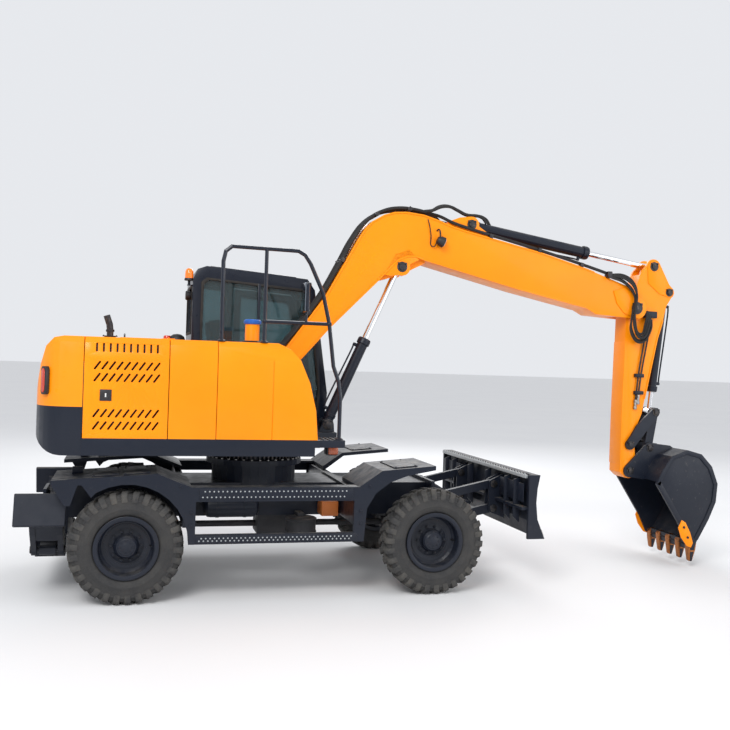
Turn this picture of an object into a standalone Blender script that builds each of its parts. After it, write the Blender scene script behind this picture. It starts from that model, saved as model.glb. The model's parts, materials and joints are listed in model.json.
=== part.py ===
"""Wheeled excavator with a front dozer blade and rear stabilizers.

Metres, +Z up, +X forward, +Y to the machine's left. Places are measured from the middle of the
wheelbase on the ground, and the whole machine then stands with its middle over the origin.
"""

import math

import bmesh
import bpy
from mathutils import Matrix, Vector

# Sizes ------------------------------------------------------------------------------------------
SEAM = 0.0003  # gap between pieces that are bolted face to face
RUNNING_GAP = 0.005  # gap between plates that move past each other
BORE_GAP = 0.0003  # radial gap of a pin in its bore
ROUND = 16  # sides of a pin or a tube
TURNED = 32  # sides of a wheel
MAIN_ROUND = 24  # sides of the boom's and the arm's main pins

TYRE_DIAMETER = 0.865
TYRE_WIDTH = 0.235
BEAD_RADIUS = 0.2205
WHEELBASE = 2.47
WIDTH_OVER_TYRES = 2.035
FRONT_X = WHEELBASE / 2
REAR_X = -WHEELBASE / 2
AXLE_Z = TYRE_DIAMETER / 2
WHEEL_Y = (WIDTH_OVER_TYRES - TYRE_WIDTH) / 2
HUB_FACE_Y = WHEEL_Y - 0.03  # where the wheel's back meets the axle flange
KINGPIN_Y = WHEEL_Y - 0.155
KINGPIN_HALF = 0.135

FRAME_HALF = 0.34
FRAME_BOTTOM = AXLE_Z + 0.1275
FRAME_TOP = 0.84
FRAME_REAR = REAR_X - 0.465
FRAME_FRONT = FRONT_X + 0.16
SIDE_Y = 1.02
SKIN = 0.035
DECK = 0.03
DECK_INNER_Y = 0.40
SILL_BOTTOM = 0.455
ARCH_RADIUS = TYRE_DIAMETER / 2 + 0.0275
FRONT_PIECE_X = FRONT_X - 0.015
REAR_SILL_X = REAR_X + ARCH_RADIUS  # where the rear arch comes down to the sill
FRONT_SILL_X = FRONT_X - 0.615
WINDOW_REAR = REAR_SILL_X + 0.05
WINDOW_FRONT = FRONT_SILL_X - 0.087

SLEW_X = -0.15
TURRET_TOP = 1.03
PLATFORM_BOTTOM = 1.135
PLATFORM_TOP = 1.265
PLATFORM_REAR = -1.585
PLATFORM_FRONT = 0.56
UPPER_HALF = 1.0
HOOD_TOP = 2.03
SHOULDER_DROP = 0.15
SHOULDER_IN = 0.06
PANEL = 0.03
CORRIDOR = 0.215  # half the slot between cab and tank, for the boom
LID_HALF = UPPER_HALF - 0.105  # half the width of the lid between the side panels
TANK_REAR = -0.585
TANK_FRONT = 0.22
COVER_REAR = -0.952
DOOR_REAR = -1.579
LID_REAR = -1.33
TAIL = -1.93

CAB_INNER_Y = 0.215
CAB_OUTER_Y = UPPER_HALF
CAB_WALL = 0.05
CAB_REAR = -0.72
CAB_TOP = 2.73
GLASS = 0.006

BOOM_HALF = 0.15
ARM_HALF = 0.10
BOOM_FOOT = (-0.01, 1.70)
BOOM_BASE_PIN = (0.50, 1.33)
BOOM_ROD_PIN = (1.136, 2.788)
ARM_BASE_PIN = (1.823, 3.232)
ARM_ROD_PIN = (3.771, 2.949)
ARM_PIVOT = (3.561, 2.524)
BUCKET_BASE_PIN = (3.95, 2.70)
ROCKER_TOP = (3.829, 1.501)
ROCKER_FOOT = (3.556, 1.174)
BUCKET_PIVOT = (3.560, 0.916)
LINK_PIN = (3.772, 1.145)
BUCKET_HALF = 0.375
TOOTH_COUNT = 5
PIN = 0.028
FOOT_PIN = 0.038
ARM_PIN = 0.035
HINGE_RADIUS = 0.011

BLADE_ARM_FOOT = (FRAME_FRONT + 0.05, 0.50)
BLADE_LINK_RISE = 0.22
BLADE_PIN = (BLADE_ARM_FOOT[0] + 0.53, 0.62)
BLADE_ARM_Y = 0.41
BLADE_BASE_PIN = (BLADE_ARM_FOOT[0], 0.81)
BLADE_ROD_PIN = (BLADE_ARM_FOOT[0] + 0.385, 0.587)
BLADE_BACK = BLADE_PIN[0] + 0.062
BLADE_HALF = 1.07
BLADE_BOTTOM = 0.455
BLADE_TOP = 0.995

LEG_X = FRAME_REAR - 0.125
LEG_HALF = 0.12
LEG_PIVOT = (0.62, 0.36)
LEG_SWING = 108.0
LEG_BASE_PIN = (0.12, 0.70)
LEG_PIN_OUT = (0.156, -0.008)  # rod pin from the pivot with the leg lowered
LEG_BARREL = 0.36

MIDDLE_X = 1.16  # middle of the machine's length, measured from the middle of the wheelbase

# Colours: base colour, roughness, metallic ------------------------------------------------------
FINISHES = {
    "yellow": ((1.0, 0.40, 0.0), 0.35, 0.0),
    "navy": ((0.012, 0.018, 0.035), 0.45, 0.0),
    "tyre": ((0.035, 0.034, 0.033), 0.9, 0.0),
    "chrome": ((0.8, 0.8, 0.82), 0.15, 1.0),
    "glass": ((0.05, 0.09, 0.09), 0.05, 0.0),
    "iron": ((0.05, 0.05, 0.055), 0.6, 0.5),
    "seat": ((0.02, 0.02, 0.022), 0.8, 0.0),
}


# Building blocks --------------------------------------------------------------------------------
def clear_scene():
    for old in list(bpy.data.objects):
        bpy.data.objects.remove(old, do_unlink=True)


def collection(name):
    made = bpy.data.collections.new(name)
    bpy.context.scene.collection.children.link(made)
    return made


def object_from(shape, name="piece"):
    mesh = bpy.data.meshes.new(name)
    bmesh.ops.recalc_face_normals(shape, faces=shape.faces)
    shape.to_mesh(mesh)
    shape.free()
    made = bpy.data.objects.new(name, mesh)
    bpy.context.scene.collection.objects.link(made)
    return made


def bake(piece):
    """Replaces a piece's data by its evaluated mesh, with loose caps welded, in world space."""
    bpy.context.view_layer.update()
    graph = bpy.context.evaluated_depsgraph_get()
    mesh = bpy.data.meshes.new_from_object(piece.evaluated_get(graph))
    mesh.transform(piece.matrix_world)
    shape = bmesh.new()
    shape.from_mesh(mesh)
    bmesh.ops.remove_doubles(shape, verts=shape.verts, dist=1e-6)
    bpy.data.meshes.remove(mesh)
    bpy.data.objects.remove(piece, do_unlink=True)
    return object_from(shape)


def boolean(base, others, operation, solver="EXACT"):
    for other in others:
        step = base.modifiers.new(operation.lower(), "BOOLEAN")
        step.operation = operation
        step.solver = solver
        step.object = other
    made = bake(base)
    for other in others:
        bpy.data.objects.remove(other, do_unlink=True)
    return made


def fuse(base, *others, solver="EXACT"):
    return boolean(base, others, "UNION", solver)


def cut(base, *others):
    return boolean(base, others, "DIFFERENCE")


def box(low, high, bevel=0.0):
    shape = bmesh.new()
    bmesh.ops.create_cube(shape, size=1.0)
    size = Vector(high) - Vector(low)
    bmesh.ops.scale(shape, vec=size, verts=shape.verts)
    bmesh.ops.translate(shape, vec=(Vector(high) + Vector(low)) / 2, verts=shape.verts)
    if bevel:
        bmesh.ops.bevel(
            shape, geom=shape.edges[:], offset=bevel, segments=2, profile=0.5, affect="EDGES"
        )
    return object_from(shape)


def both_sides(y_low, y_high):
    """The two spans of y, left and right, between two distances from the middle plane."""
    return ((y_low, y_high), (-y_high, -y_low))


def bar(start, end, radius, sides=ROUND, end_radius=None):
    """A round bar between two points."""
    shape = bmesh.new()
    along = Vector(end) - Vector(start)
    bmesh.ops.create_cone(
        shape,
        cap_ends=True,
        segments=sides,
        radius1=radius,
        radius2=radius if end_radius is None else end_radius,
        depth=along.length,
    )
    turn = along.to_track_quat("Z", "Y").to_matrix().to_4x4()
    middle = (Vector(start) + Vector(end)) / 2
    bmesh.ops.transform(shape, matrix=Matrix.Translation(middle) @ turn, verts=shape.verts)
    return object_from(shape)


def pin_y(at, y_low, y_high, radius=PIN, sides=ROUND):
    return bar((at[0], y_low, at[1]), (at[0], y_high, at[1]), radius, sides)


def bore_radius(radius, sides=ROUND):
    """A faceted bore whose flats clear a faceted pin at every angle."""
    return radius / math.cos(math.pi / sides) + BORE_GAP


def flat_outline(loops, thickness):
    """A filled flat outline, in its own X and Y, with a thickness along its Z."""
    data = bpy.data.curves.new("outline", "CURVE")
    data.dimensions = "2D"
    data.fill_mode = "BOTH"
    data.extrude = thickness / 2
    for points in loops:
        line = data.splines.new("POLY")
        line.points.add(len(points) - 1)
        for point, (u, v) in zip(line.points, points):
            point.co = (u, v, 0, 1)
        line.use_cyclic_u = True
    made = bpy.data.objects.new("outline", data)
    bpy.context.scene.collection.objects.link(made)
    return made


def plate(outline, y_low, y_high, holes=()):
    """A plate from an outline in X and Z, between two values of y."""
    made = flat_outline([outline, *holes], y_high - y_low)
    made.rotation_euler = (math.pi / 2, 0, 0)
    made.location = (0, (y_low + y_high) / 2, 0)
    return bake(made)


def plate_x(outline, x_low, x_high):
    """A plate from an outline in Y and Z, between two values of x."""
    made = flat_outline([outline], x_high - x_low)
    made.rotation_euler = (math.pi / 2, 0, math.pi / 2)
    made.location = ((x_low + x_high) / 2, 0, 0)
    return bake(made)


def plate_z(outline, z_low, z_high):
    """A plate from an outline in X and Y, between two values of z."""
    made = flat_outline([outline], z_high - z_low)
    made.location = (0, 0, (z_low + z_high) / 2)
    return bake(made)


def arc(centre, radius, start, end, steps=6):
    """Points on an arc, in degrees."""
    angles = [math.radians(start + (end - start) * i / steps) for i in range(steps + 1)]
    return [(centre[0] + radius * math.cos(a), centre[1] + radius * math.sin(a)) for a in angles]


def circle(centre, radius, sides=ROUND):
    return arc(centre, radius, 0, 360 - 360 / sides, sides - 1)


def turned(profile, sides=TURNED):
    """A closed profile of (radius, height) turned about Z."""
    mesh = bpy.data.meshes.new("profile")
    count = len(profile)
    on_axis = profile[0][0] == 0 and profile[-1][0] == 0
    edges = [(i, i + 1) for i in range(count - 1)] + ([] if on_axis else [(count - 1, 0)])
    mesh.from_pydata([(radius, 0, height) for radius, height in profile], edges, [])
    made = bpy.data.objects.new("profile", mesh)
    bpy.context.scene.collection.objects.link(made)
    turn = made.modifiers.new("turn", "SCREW")
    turn.steps = sides
    turn.render_steps = sides
    turn.use_merge_vertices = True
    turn.merge_threshold = 1e-5
    return bake(made)


def moved(piece, matrix):
    piece.data.transform(matrix)
    return piece


def tube(points, radius, sides=8):
    """A bent tube through points."""
    data = bpy.data.curves.new("tube", "CURVE")
    data.dimensions = "3D"
    data.bevel_depth = radius
    data.bevel_resolution = max(0, sides // 2 - 2)
    data.use_fill_caps = True
    line = data.splines.new("POLY")
    line.points.add(len(points) - 1)
    for point, place in zip(line.points, points):
        point.co = (*place, 1)
    made = bpy.data.objects.new("tube", data)
    bpy.context.scene.collection.objects.link(made)
    return bake(made)


def mirrored(outline):
    """The same outline on the other side of the middle plane, for plate_x and plate_z lists."""
    return [(-u, v) for u, v in reversed(outline)]


def finish_material(name):
    if name in bpy.data.materials:
        return bpy.data.materials[name]
    colour, roughness, metallic = FINISHES[name]
    made = bpy.data.materials.new(name)
    made.use_nodes = True
    shader = made.node_tree.nodes["Principled BSDF"]
    shader.inputs["Base Color"].default_value = (*colour, 1)
    shader.inputs["Roughness"].default_value = roughness
    shader.inputs["Metallic"].default_value = metallic
    return made


# Bodies: each is an empty on its joint's axis ---------------------------------------------------
def body(name, parent, at):
    made = bpy.data.objects.new(name + "_pivot", None)
    bpy.context.scene.collection.objects.link(made)
    made.empty_display_size = 0.1
    made["place"] = tuple(at)
    if parent:
        made.parent = parent
        made.location = Vector(at) - Vector(parent["place"])
    else:
        made.location = Vector(at) - Vector((MIDDLE_X, 0, 0))
    return made


def carry(piece, name, pivot, finish, smooth=True):
    """Names a piece, gives it its finish and hangs it on its body."""
    piece.name = name
    piece.data.name = name
    piece.data.transform(Matrix.Translation(-Vector(pivot["place"])))
    piece.parent = pivot
    piece.data.materials.clear()
    piece.data.materials.append(finish_material(finish))
    if smooth:
        piece.data.shade_smooth()
        piece.data.set_sharp_from_angle(angle=math.radians(35))
    bpy.context.scene.collection.objects.unlink(piece)
    bpy.data.collections["excavator"].objects.link(piece)
    return piece


# Undercarriage ----------------------------------------------------------------------------------
def side_outline():
    """Outer outline of a side plate, with the rear arch round its wheel."""
    arch = arc((REAR_X, AXLE_Z + 0.0275), ARCH_RADIUS, 0, 120, 10)
    front, rear = FRONT_X, REAR_X
    return [
        (rear - 0.555, 0.95), (rear + 0.215, 1.0), (rear + 0.478, 0.895), (front - 0.66, 0.895),
        (front - 0.473, 1.025), (FRONT_PIECE_X, 1.065), (FRONT_PIECE_X, 1.03), (front - 0.255, 0.985),
        (front - 0.405, 0.93), (front - 0.525, 0.84), (front - 0.595, 0.72),
        (FRONT_SILL_X, SILL_BOTTOM), (arch[0][0], SILL_BOTTOM), *arch, (rear - 0.265, 0.82),
        (rear - 0.335, 0.915), (rear - 0.365, 0.915), (rear - 0.415, 0.76), (rear - 0.455, 0.76),
        (rear - 0.555, 0.92),
    ]


def side_frame(side):
    outer, inner = SIDE_Y, SIDE_Y - SKIN
    window = [
        (WINDOW_REAR, 0.53), (WINDOW_FRONT, 0.53), (WINDOW_FRONT, 0.785), (WINDOW_REAR, 0.785)
    ]
    front_x, rear_x = FRONT_X, REAR_X

    def span(low, high):
        return (low, high) if side > 0 else (-high, -low)

    piece = plate(side_outline(), *span(inner, outer), holes=[window])
    deck = [
        (rear_x - 0.555, 0.95), (rear_x + 0.215, 1.0), (rear_x + 0.478, 0.895),
        (rear_x + 0.478, 0.865), (rear_x + 0.215, 0.97), (rear_x - 0.555, 0.92),
    ]
    front = [
        (front_x - 0.66, 0.895), (front_x - 0.473, 1.025), (FRONT_PIECE_X, 1.065),
        (FRONT_PIECE_X, 1.035), (front_x - 0.46, 0.995), (front_x - 0.635, 0.865),
        (front_x - 0.66, 0.865),
    ]
    y_deck = span(DECK_INNER_Y, outer - 0.005)
    y_shelf = span(0.87, outer - 0.005)
    y_step = span(0.84, outer - 0.005)
    return fuse(
        piece,
        plate(deck, *y_deck),
        plate(front, *y_deck),
        box((rear_x + 0.435, y_shelf[0], 0.872), (front_x - 0.635, y_shelf[1], 0.893)),
        box(
            (REAR_SILL_X + 0.015, y_step[0], SILL_BOTTOM + 0.002),
            (FRONT_SILL_X - 0.005, y_step[1], SILL_BOTTOM + 0.024),
        ),
    )


def chassis_frame():
    piece = box((FRAME_REAR, -FRAME_HALF, FRAME_BOTTOM), (FRAME_FRONT, FRAME_HALF, FRAME_TOP))
    reach = SIDE_Y - SKIN - SEAM
    wide = DECK_INNER_Y + 0.04
    front_plate = box((FRAME_FRONT - 0.03, -0.50, 0.44), (FRAME_FRONT, 0.50, 0.87))
    ear_root = FRAME_FRONT - 0.015
    parts = [
        bar((SLEW_X, 0, FRAME_TOP - 0.04), (SLEW_X, 0, 0.99), 0.37, TURNED),
        bar((SLEW_X, 0, 0.985), (SLEW_X, 0, TURRET_TOP), 0.42, TURNED),
        box((REAR_X + 0.415, -reach, 0.58), (REAR_X + 0.473, reach, 0.86)),
        box((FRONT_X - 0.69, -reach, 0.58), (FRONT_X - 0.625, reach, 0.86)),
        box((REAR_X - 0.065, -wide, FRAME_TOP - 0.02), (REAR_X + 0.135, wide, 0.9195)),
        front_plate,
    ]
    foot_x, foot_z = BLADE_ARM_FOOT
    for y_low, y_high in (*both_sides(0.36, 0.38), *both_sides(0.44, 0.46)):
        ear = [
            (ear_root, foot_z - 0.05), (foot_x, foot_z - 0.05), *arc((foot_x, foot_z), 0.05, -60, 0, 3),
            *arc((foot_x, foot_z + BLADE_LINK_RISE), 0.05, 0, 60, 3),
            (ear_root, foot_z + BLADE_LINK_RISE + 0.05),
        ]
        parts.append(plate(ear, y_low, y_high))
    for y_low, y_high in both_sides(0.37, 0.45):
        parts.append(pin_y(BLADE_ARM_FOOT, y_low, y_high))
        parts.append(pin_y((foot_x, foot_z + BLADE_LINK_RISE), y_low, y_high))
    for y_low, y_high in both_sides(0.045, 0.07):
        centre = BLADE_BASE_PIN
        ear = [(ear_root, 0.75), (centre[0], 0.75), *arc(centre, 0.045, -45, 90, 4), (ear_root, 0.855)]
        parts.append(plate(ear, y_low, y_high))
    parts.append(pin_y(BLADE_BASE_PIN, -0.06, 0.06, 0.02))
    return fuse(piece, *parts)


def stabilizer_beam():
    low = LEG_PIVOT[1] - 0.08
    lug_half = 0.06
    piece = box((LEG_X - 0.105, -0.50, low), (FRAME_REAR - SEAM, 0.50, low + 0.15))
    upright = box((FRAME_REAR - 0.06, -0.32, low), (FRAME_REAR - SEAM, 0.32, 0.80))
    parts = [upright, box((LEG_X - 0.085, -0.18, 0.61), (LEG_X - 0.06, 0.18, 0.77))]
    for side in (1, -1):
        y_pin, z_pin = side * LEG_BASE_PIN[0], LEG_BASE_PIN[1]
        parts.append(bar((LEG_X - 0.07, y_pin, z_pin), (FRAME_REAR - 0.03, y_pin, z_pin), 0.02))
        y_leg, z_leg = side * LEG_PIVOT[0], LEG_PIVOT[1]
        y_root = side * 0.49
        lug = box(
            (LEG_X - lug_half, min(y_root, y_leg), z_leg - 0.042),
            (LEG_X + lug_half, max(y_root, y_leg), z_leg + 0.042),
        )
        eye = bar((LEG_X - lug_half, y_leg, z_leg), (LEG_X + lug_half, y_leg, z_leg), 0.042)
        pin = bar((LEG_X - LEG_HALF, y_leg, z_leg), (LEG_X + LEG_HALF, y_leg, z_leg), 0.022)
        parts += [lug, eye, pin]
    return fuse(piece, *parts)


def leg_at_rest(side):
    """The turn that lifts a lowered leg to where it is carried."""
    pivot = Vector((0, side * LEG_PIVOT[0], LEG_PIVOT[1]))
    turn = Matrix.Rotation(side * math.radians(LEG_SWING), 4, "X")
    return Matrix.Translation(pivot) @ turn @ Matrix.Translation(-pivot)


def stabilizer_leg(side):
    """Drawn lowered, with its pad on the ground, then lifted."""
    y_pivot, z_pivot = LEG_PIVOT
    flange = [
        *arc((y_pivot, z_pivot), 0.045, 200, 90, 5), (0.76, z_pivot + 0.032),
        *arc((y_pivot + LEG_PIN_OUT[0], z_pivot + LEG_PIN_OUT[1]), 0.04, 90, -30, 4),
        (0.86, 0.18), (0.93, 0.03), (0.76, 0.03), (0.70, 0.12), (0.60, 0.32),
    ]
    web = [(0.665, 0.195), (0.70, 0.215), (0.82, 0.03), (0.765, 0.03)]
    outlines = [flange if side > 0 else mirrored(flange), web if side > 0 else mirrored(web)]
    inner = 0.04
    flange_low = plate_x(outlines[0], LEG_X - LEG_HALF, LEG_X - LEG_HALF + inner)
    flange_high = plate_x(outlines[0], LEG_X + LEG_HALF - inner, LEG_X + LEG_HALF)
    web_plate = plate_x(outlines[1], LEG_X - LEG_HALF + 0.01, LEG_X + LEG_HALF - 0.01)
    pad_y = sorted((side * 0.75, side * 1.0))
    pad = box((LEG_X - 0.235, pad_y[0], 0.0), (LEG_X + 0.14, pad_y[1], 0.04), bevel=0.008)
    piece = fuse(flange_low, flange_high, web_plate, pad)
    y_leg = side * y_pivot
    hole = bar(
        (LEG_X - 0.2, y_leg, z_pivot), (LEG_X + 0.2, y_leg, z_pivot), bore_radius(0.022)
    )
    return moved(cut(piece, hole), leg_at_rest(side))


def axle_body(x_axle, end_y):
    piece = bar((x_axle, -end_y, AXLE_Z), (x_axle, end_y, AXLE_Z), 0.062)
    housing = turned([(0, 0.16), (0.06, 0.155), (0.10, 0.09), (0.12, 0.0), (0.10, -0.09), (0.06, -0.155), (0, -0.16)], 16)
    moved(housing, Matrix.Translation((x_axle, 0, AXLE_Z)) @ Matrix.Rotation(math.pi / 2, 4, "X"))
    toward = -1 if x_axle > 0 else 1
    nose = bar((x_axle, 0, AXLE_Z), (x_axle + toward * 0.19, 0, AXLE_Z), 0.05)
    pads = [
        box((x_axle - 0.07, low, AXLE_Z), (x_axle + 0.07, high, FRAME_BOTTOM - SEAM))
        for low, high in both_sides(0.22, 0.31)
    ]
    return fuse(piece, housing, nose, *pads, solver="MANIFOLD")


def front_axle():
    parts = []
    for low, high in both_sides(KINGPIN_Y - 0.10, KINGPIN_Y - 0.055):
        parts.append(box((FRONT_X - 0.05, low, AXLE_Z - 0.165), (FRONT_X + 0.05, high, AXLE_Z + 0.165)))
    for low, high in both_sides(KINGPIN_Y - 0.07, KINGPIN_Y + 0.04):
        for z_low in (AXLE_Z + KINGPIN_HALF, AXLE_Z - KINGPIN_HALF - 0.03):
            parts.append(box((FRONT_X - 0.05, low, z_low), (FRONT_X + 0.05, high, z_low + 0.03)))
    return fuse(axle_body(FRONT_X, KINGPIN_Y - 0.08), *parts, solver="MANIFOLD")


def rear_axle():
    flanges = [
        bar((REAR_X, low, AXLE_Z), (REAR_X, high, AXLE_Z), 0.095)
        for low, high in both_sides(HUB_FACE_Y - 0.07, HUB_FACE_Y - SEAM)
    ]
    return fuse(axle_body(REAR_X, HUB_FACE_Y - 0.03), *flanges, solver="MANIFOLD")


def knuckle(side):
    y_pin, y_face = side * KINGPIN_Y, side * (HUB_FACE_Y - SEAM)
    half = KINGPIN_HALF - 0.0005
    piece = bar((FRONT_X, y_pin, AXLE_Z - half), (FRONT_X, y_pin, AXLE_Z + half), 0.045)
    spindle = bar((FRONT_X, y_pin, AXLE_Z), (FRONT_X, y_face, AXLE_Z), 0.055)
    flange = bar((FRONT_X, y_face - side * 0.025, AXLE_Z), (FRONT_X, y_face, AXLE_Z), 0.095)
    return fuse(piece, spindle, flange, solver="MANIFOLD")


def transmission():
    gearbox = box((-0.12, -0.15, AXLE_Z - 0.08), (0.26, 0.15, FRAME_BOTTOM - SEAM), bevel=0.01)
    reach = WHEELBASE / 2 - 0.19 - SEAM
    shaft = bar((-reach, 0, AXLE_Z), (reach, 0, AXLE_Z), 0.028)
    return fuse(gearbox, shaft)


def tyre(x_wheel, side):
    outer, half = TYRE_DIAMETER / 2, TYRE_WIDTH / 2
    bead_half = half - 0.036
    profile = [
        (BEAD_RADIUS, bead_half - 0.002), (BEAD_RADIUS + 0.02, bead_half), (outer - 0.14, half - 0.008),
        (outer - 0.10, half), (outer - 0.03, half - 0.006), (outer - 0.008, half - 0.022),
        (outer, half - 0.045),
    ]
    profile += [(radius, -height) for radius, height in reversed(profile)]
    piece = turned(profile)
    turn = Matrix.Rotation(-side * math.pi / 2, 4, "X")
    return moved(piece, Matrix.Translation((x_wheel, side * WHEEL_Y, AXLE_Z)) @ turn)


def rim(x_wheel, side):
    seat = BEAD_RADIUS - 0.0005
    bead_half = TYRE_WIDTH / 2 - 0.036
    lip = bead_half + 0.002
    edge = TYRE_WIDTH / 2 - 0.0125
    profile = [
        (0, 0.065), (0.072, 0.065), (0.086, 0.05), (0.086, 0.0), (0.135, -0.012), (0.185, -0.005),
        (0.203, 0.012), (0.208, edge - 0.005), (BEAD_RADIUS + 0.022, edge), (BEAD_RADIUS + 0.022, lip),
        (seat, lip - 0.001), (seat, -lip + 0.001), (BEAD_RADIUS + 0.022, -lip),
        (BEAD_RADIUS + 0.022, -edge), (0.208, -edge + 0.005), (0.205, -0.015), (0.186, -0.027),
        (0.135, -0.03), (0, -0.03),
    ]
    piece = turned(profile)
    turn = Matrix.Rotation(-side * math.pi / 2, 4, "X")
    return moved(piece, Matrix.Translation((x_wheel, side * WHEEL_Y, AXLE_Z)) @ turn)


# Dozer blade ------------------------------------------------------------------------------------
def strut(start, end, half, y_low, y_high, pin_radius=PIN):
    """A flat link with round ends and a bore at each end, between two points in X and Z."""
    along = math.degrees(math.atan2(end[1] - start[1], end[0] - start[0]))
    outline = arc(start, half, along + 90, along + 270, 6) + arc(end, half, along - 90, along + 90, 6)
    holes = [circle(start, bore_radius(pin_radius)), circle(end, bore_radius(pin_radius))]
    return plate(outline, y_low, y_high, holes)


def blade_arms():
    half = 0.025
    arms = [
        strut(BLADE_ARM_FOOT, BLADE_PIN, PIN + 0.010, y - half, y + half)
        for y in (BLADE_ARM_Y, -BLADE_ARM_Y)
    ]
    inner = BLADE_ARM_Y - half
    cross = bar((BLADE_ROD_PIN[0], -inner - 0.01, BLADE_ROD_PIN[1]),
                (BLADE_ROD_PIN[0], inner + 0.01, BLADE_ROD_PIN[1]), 0.032)
    gap = box((BLADE_ROD_PIN[0] - 0.1, -0.04, 0.4), (BLADE_ROD_PIN[0] + 0.1, 0.04, 0.62 + 0.1))
    keel = [
        (BLADE_ROD_PIN[0] + 0.05, BLADE_ROD_PIN[1] - 0.055),
        (BLADE_ROD_PIN[0] + 0.05, BLADE_ROD_PIN[1] + 0.035),
        (BLADE_ROD_PIN[0] - 0.035, BLADE_ROD_PIN[1] + 0.035),
        (BLADE_ROD_PIN[0] - 0.035, BLADE_ROD_PIN[1] - 0.055),
    ]
    ears = [plate(keel, low, high) for low, high in both_sides(0.045, 0.07)]
    bridge = box(
        (BLADE_ROD_PIN[0] + 0.052, -0.07, BLADE_ROD_PIN[1] - 0.055),
        (BLADE_ROD_PIN[0] + 0.075, 0.07, BLADE_ROD_PIN[1] + 0.035),
    )
    tie = box(
        (BLADE_ROD_PIN[0] + 0.045, -0.07, BLADE_ROD_PIN[1] - 0.055),
        (BLADE_ROD_PIN[0] + 0.055, 0.07, BLADE_ROD_PIN[1] + 0.035),
    )
    shaft = cut(cross, gap)
    halves = fuse(arms[0], arms[1], shaft, *ears, tie, bridge)
    return halves


def blade_link(side):
    half = 0.025
    y_middle = side * BLADE_ARM_Y
    start = (BLADE_ARM_FOOT[0], BLADE_ARM_FOOT[1] + BLADE_LINK_RISE)
    end = (BLADE_PIN[0], BLADE_PIN[1] + BLADE_LINK_RISE)
    return strut(start, end, PIN + 0.008, y_middle - half, y_middle + half)


def dozer_blade():
    front = [
        (BLADE_BACK + 0.10, BLADE_TOP), (BLADE_BACK + 0.078, 0.88), (BLADE_BACK + 0.070, 0.76),
        (BLADE_BACK + 0.085, 0.62), (BLADE_BACK + 0.155, BLADE_BOTTOM),
    ]
    face = [(x - 0.002, z) for x, z in front]
    board = [(BLADE_BACK + 0.035, BLADE_TOP - 0.001), (face[0][0], BLADE_TOP - 0.001), *face[1:-1],
             (face[-1][0], BLADE_BOTTOM + 0.001), (BLADE_BACK + 0.10, BLADE_BOTTOM + 0.001),
             (BLADE_BACK + 0.035, 0.60), (BLADE_BACK + 0.03, 0.80)]
    ends = [(BLADE_BACK, BLADE_TOP), *front, (BLADE_BACK, BLADE_BOTTOM)]
    piece = plate(board, -BLADE_HALF + 0.01, BLADE_HALF - 0.01)
    parts = [plate(ends, low, high) for low, high in both_sides(BLADE_HALF - 0.03, BLADE_HALF)]
    top = box((BLADE_BACK, -BLADE_HALF + 0.02, 0.96), (BLADE_BACK + 0.05, BLADE_HALF - 0.02, 0.985))
    parts.append(top)
    upper = (BLADE_PIN[0], BLADE_PIN[1] + BLADE_LINK_RISE)
    ear = [
        (BLADE_BACK + 0.05, BLADE_PIN[1] - 0.09), *arc(BLADE_PIN, 0.045, 250, 180, 3),
        *arc(upper, 0.045, 180, 100, 3), (BLADE_BACK + 0.05, upper[1] + 0.10),
    ]
    for low, high in (*both_sides(0.36, 0.38), *both_sides(0.44, 0.46)):
        parts.append(plate(ear, low, high))
    for low, high in both_sides(0.37, 0.45):
        parts += [pin_y(BLADE_PIN, low, high), pin_y(upper, low, high)]
    return fuse(piece, *parts)


# Cylinders --------------------------------------------------------------------------------------
def on_line(start, end, distance):
    """The point at a distance from start towards end, in X and Z."""
    length = math.dist(start, end)
    return tuple(a + (b - a) * distance / length for a, b in zip(start, end))


def barrel(base, rod_eye, length, radius, rod_radius, half, pin_radius=PIN):
    """A cylinder's barrel along a line in X and Z, with its eye on the base pin."""
    mouth = on_line(base, rod_eye, length)
    neck = on_line(base, rod_eye, length - 0.05)
    start = on_line(base, rod_eye, radius * 0.6)
    deep = on_line(base, rod_eye, radius + 0.05)
    past = on_line(base, rod_eye, length + 0.05)
    piece = bar((start[0], 0, start[1]), (mouth[0], 0, mouth[1]), radius)
    gland = bar((neck[0], 0, neck[1]), (mouth[0], 0, mouth[1]), radius + 0.006)
    eye = pin_y(base, -half, half, pin_radius + 0.022)
    piece = fuse(piece, gland, eye)
    hole = pin_y(base, -half - 0.02, half + 0.02, bore_radius(pin_radius))
    inside = bar((deep[0], 0, deep[1]), (past[0], 0, past[1]), bore_radius(rod_radius))
    return cut(piece, hole, inside)


def rod(base, rod_eye, length, radius, half, eye_radius):
    """A cylinder's rod, from its open eye back into the barrel."""
    inner = on_line(rod_eye, base, length)
    piece = bar((rod_eye[0], 0, rod_eye[1]), (inner[0], 0, inner[1]), radius)
    return fuse(piece, pin_y(rod_eye, -half, half, eye_radius))


def leg_rod_pin(side):
    lowered = Vector((LEG_X, side * (LEG_PIVOT[0] + LEG_PIN_OUT[0]), LEG_PIVOT[1] + LEG_PIN_OUT[1]))
    return leg_at_rest(side) @ lowered


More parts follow.
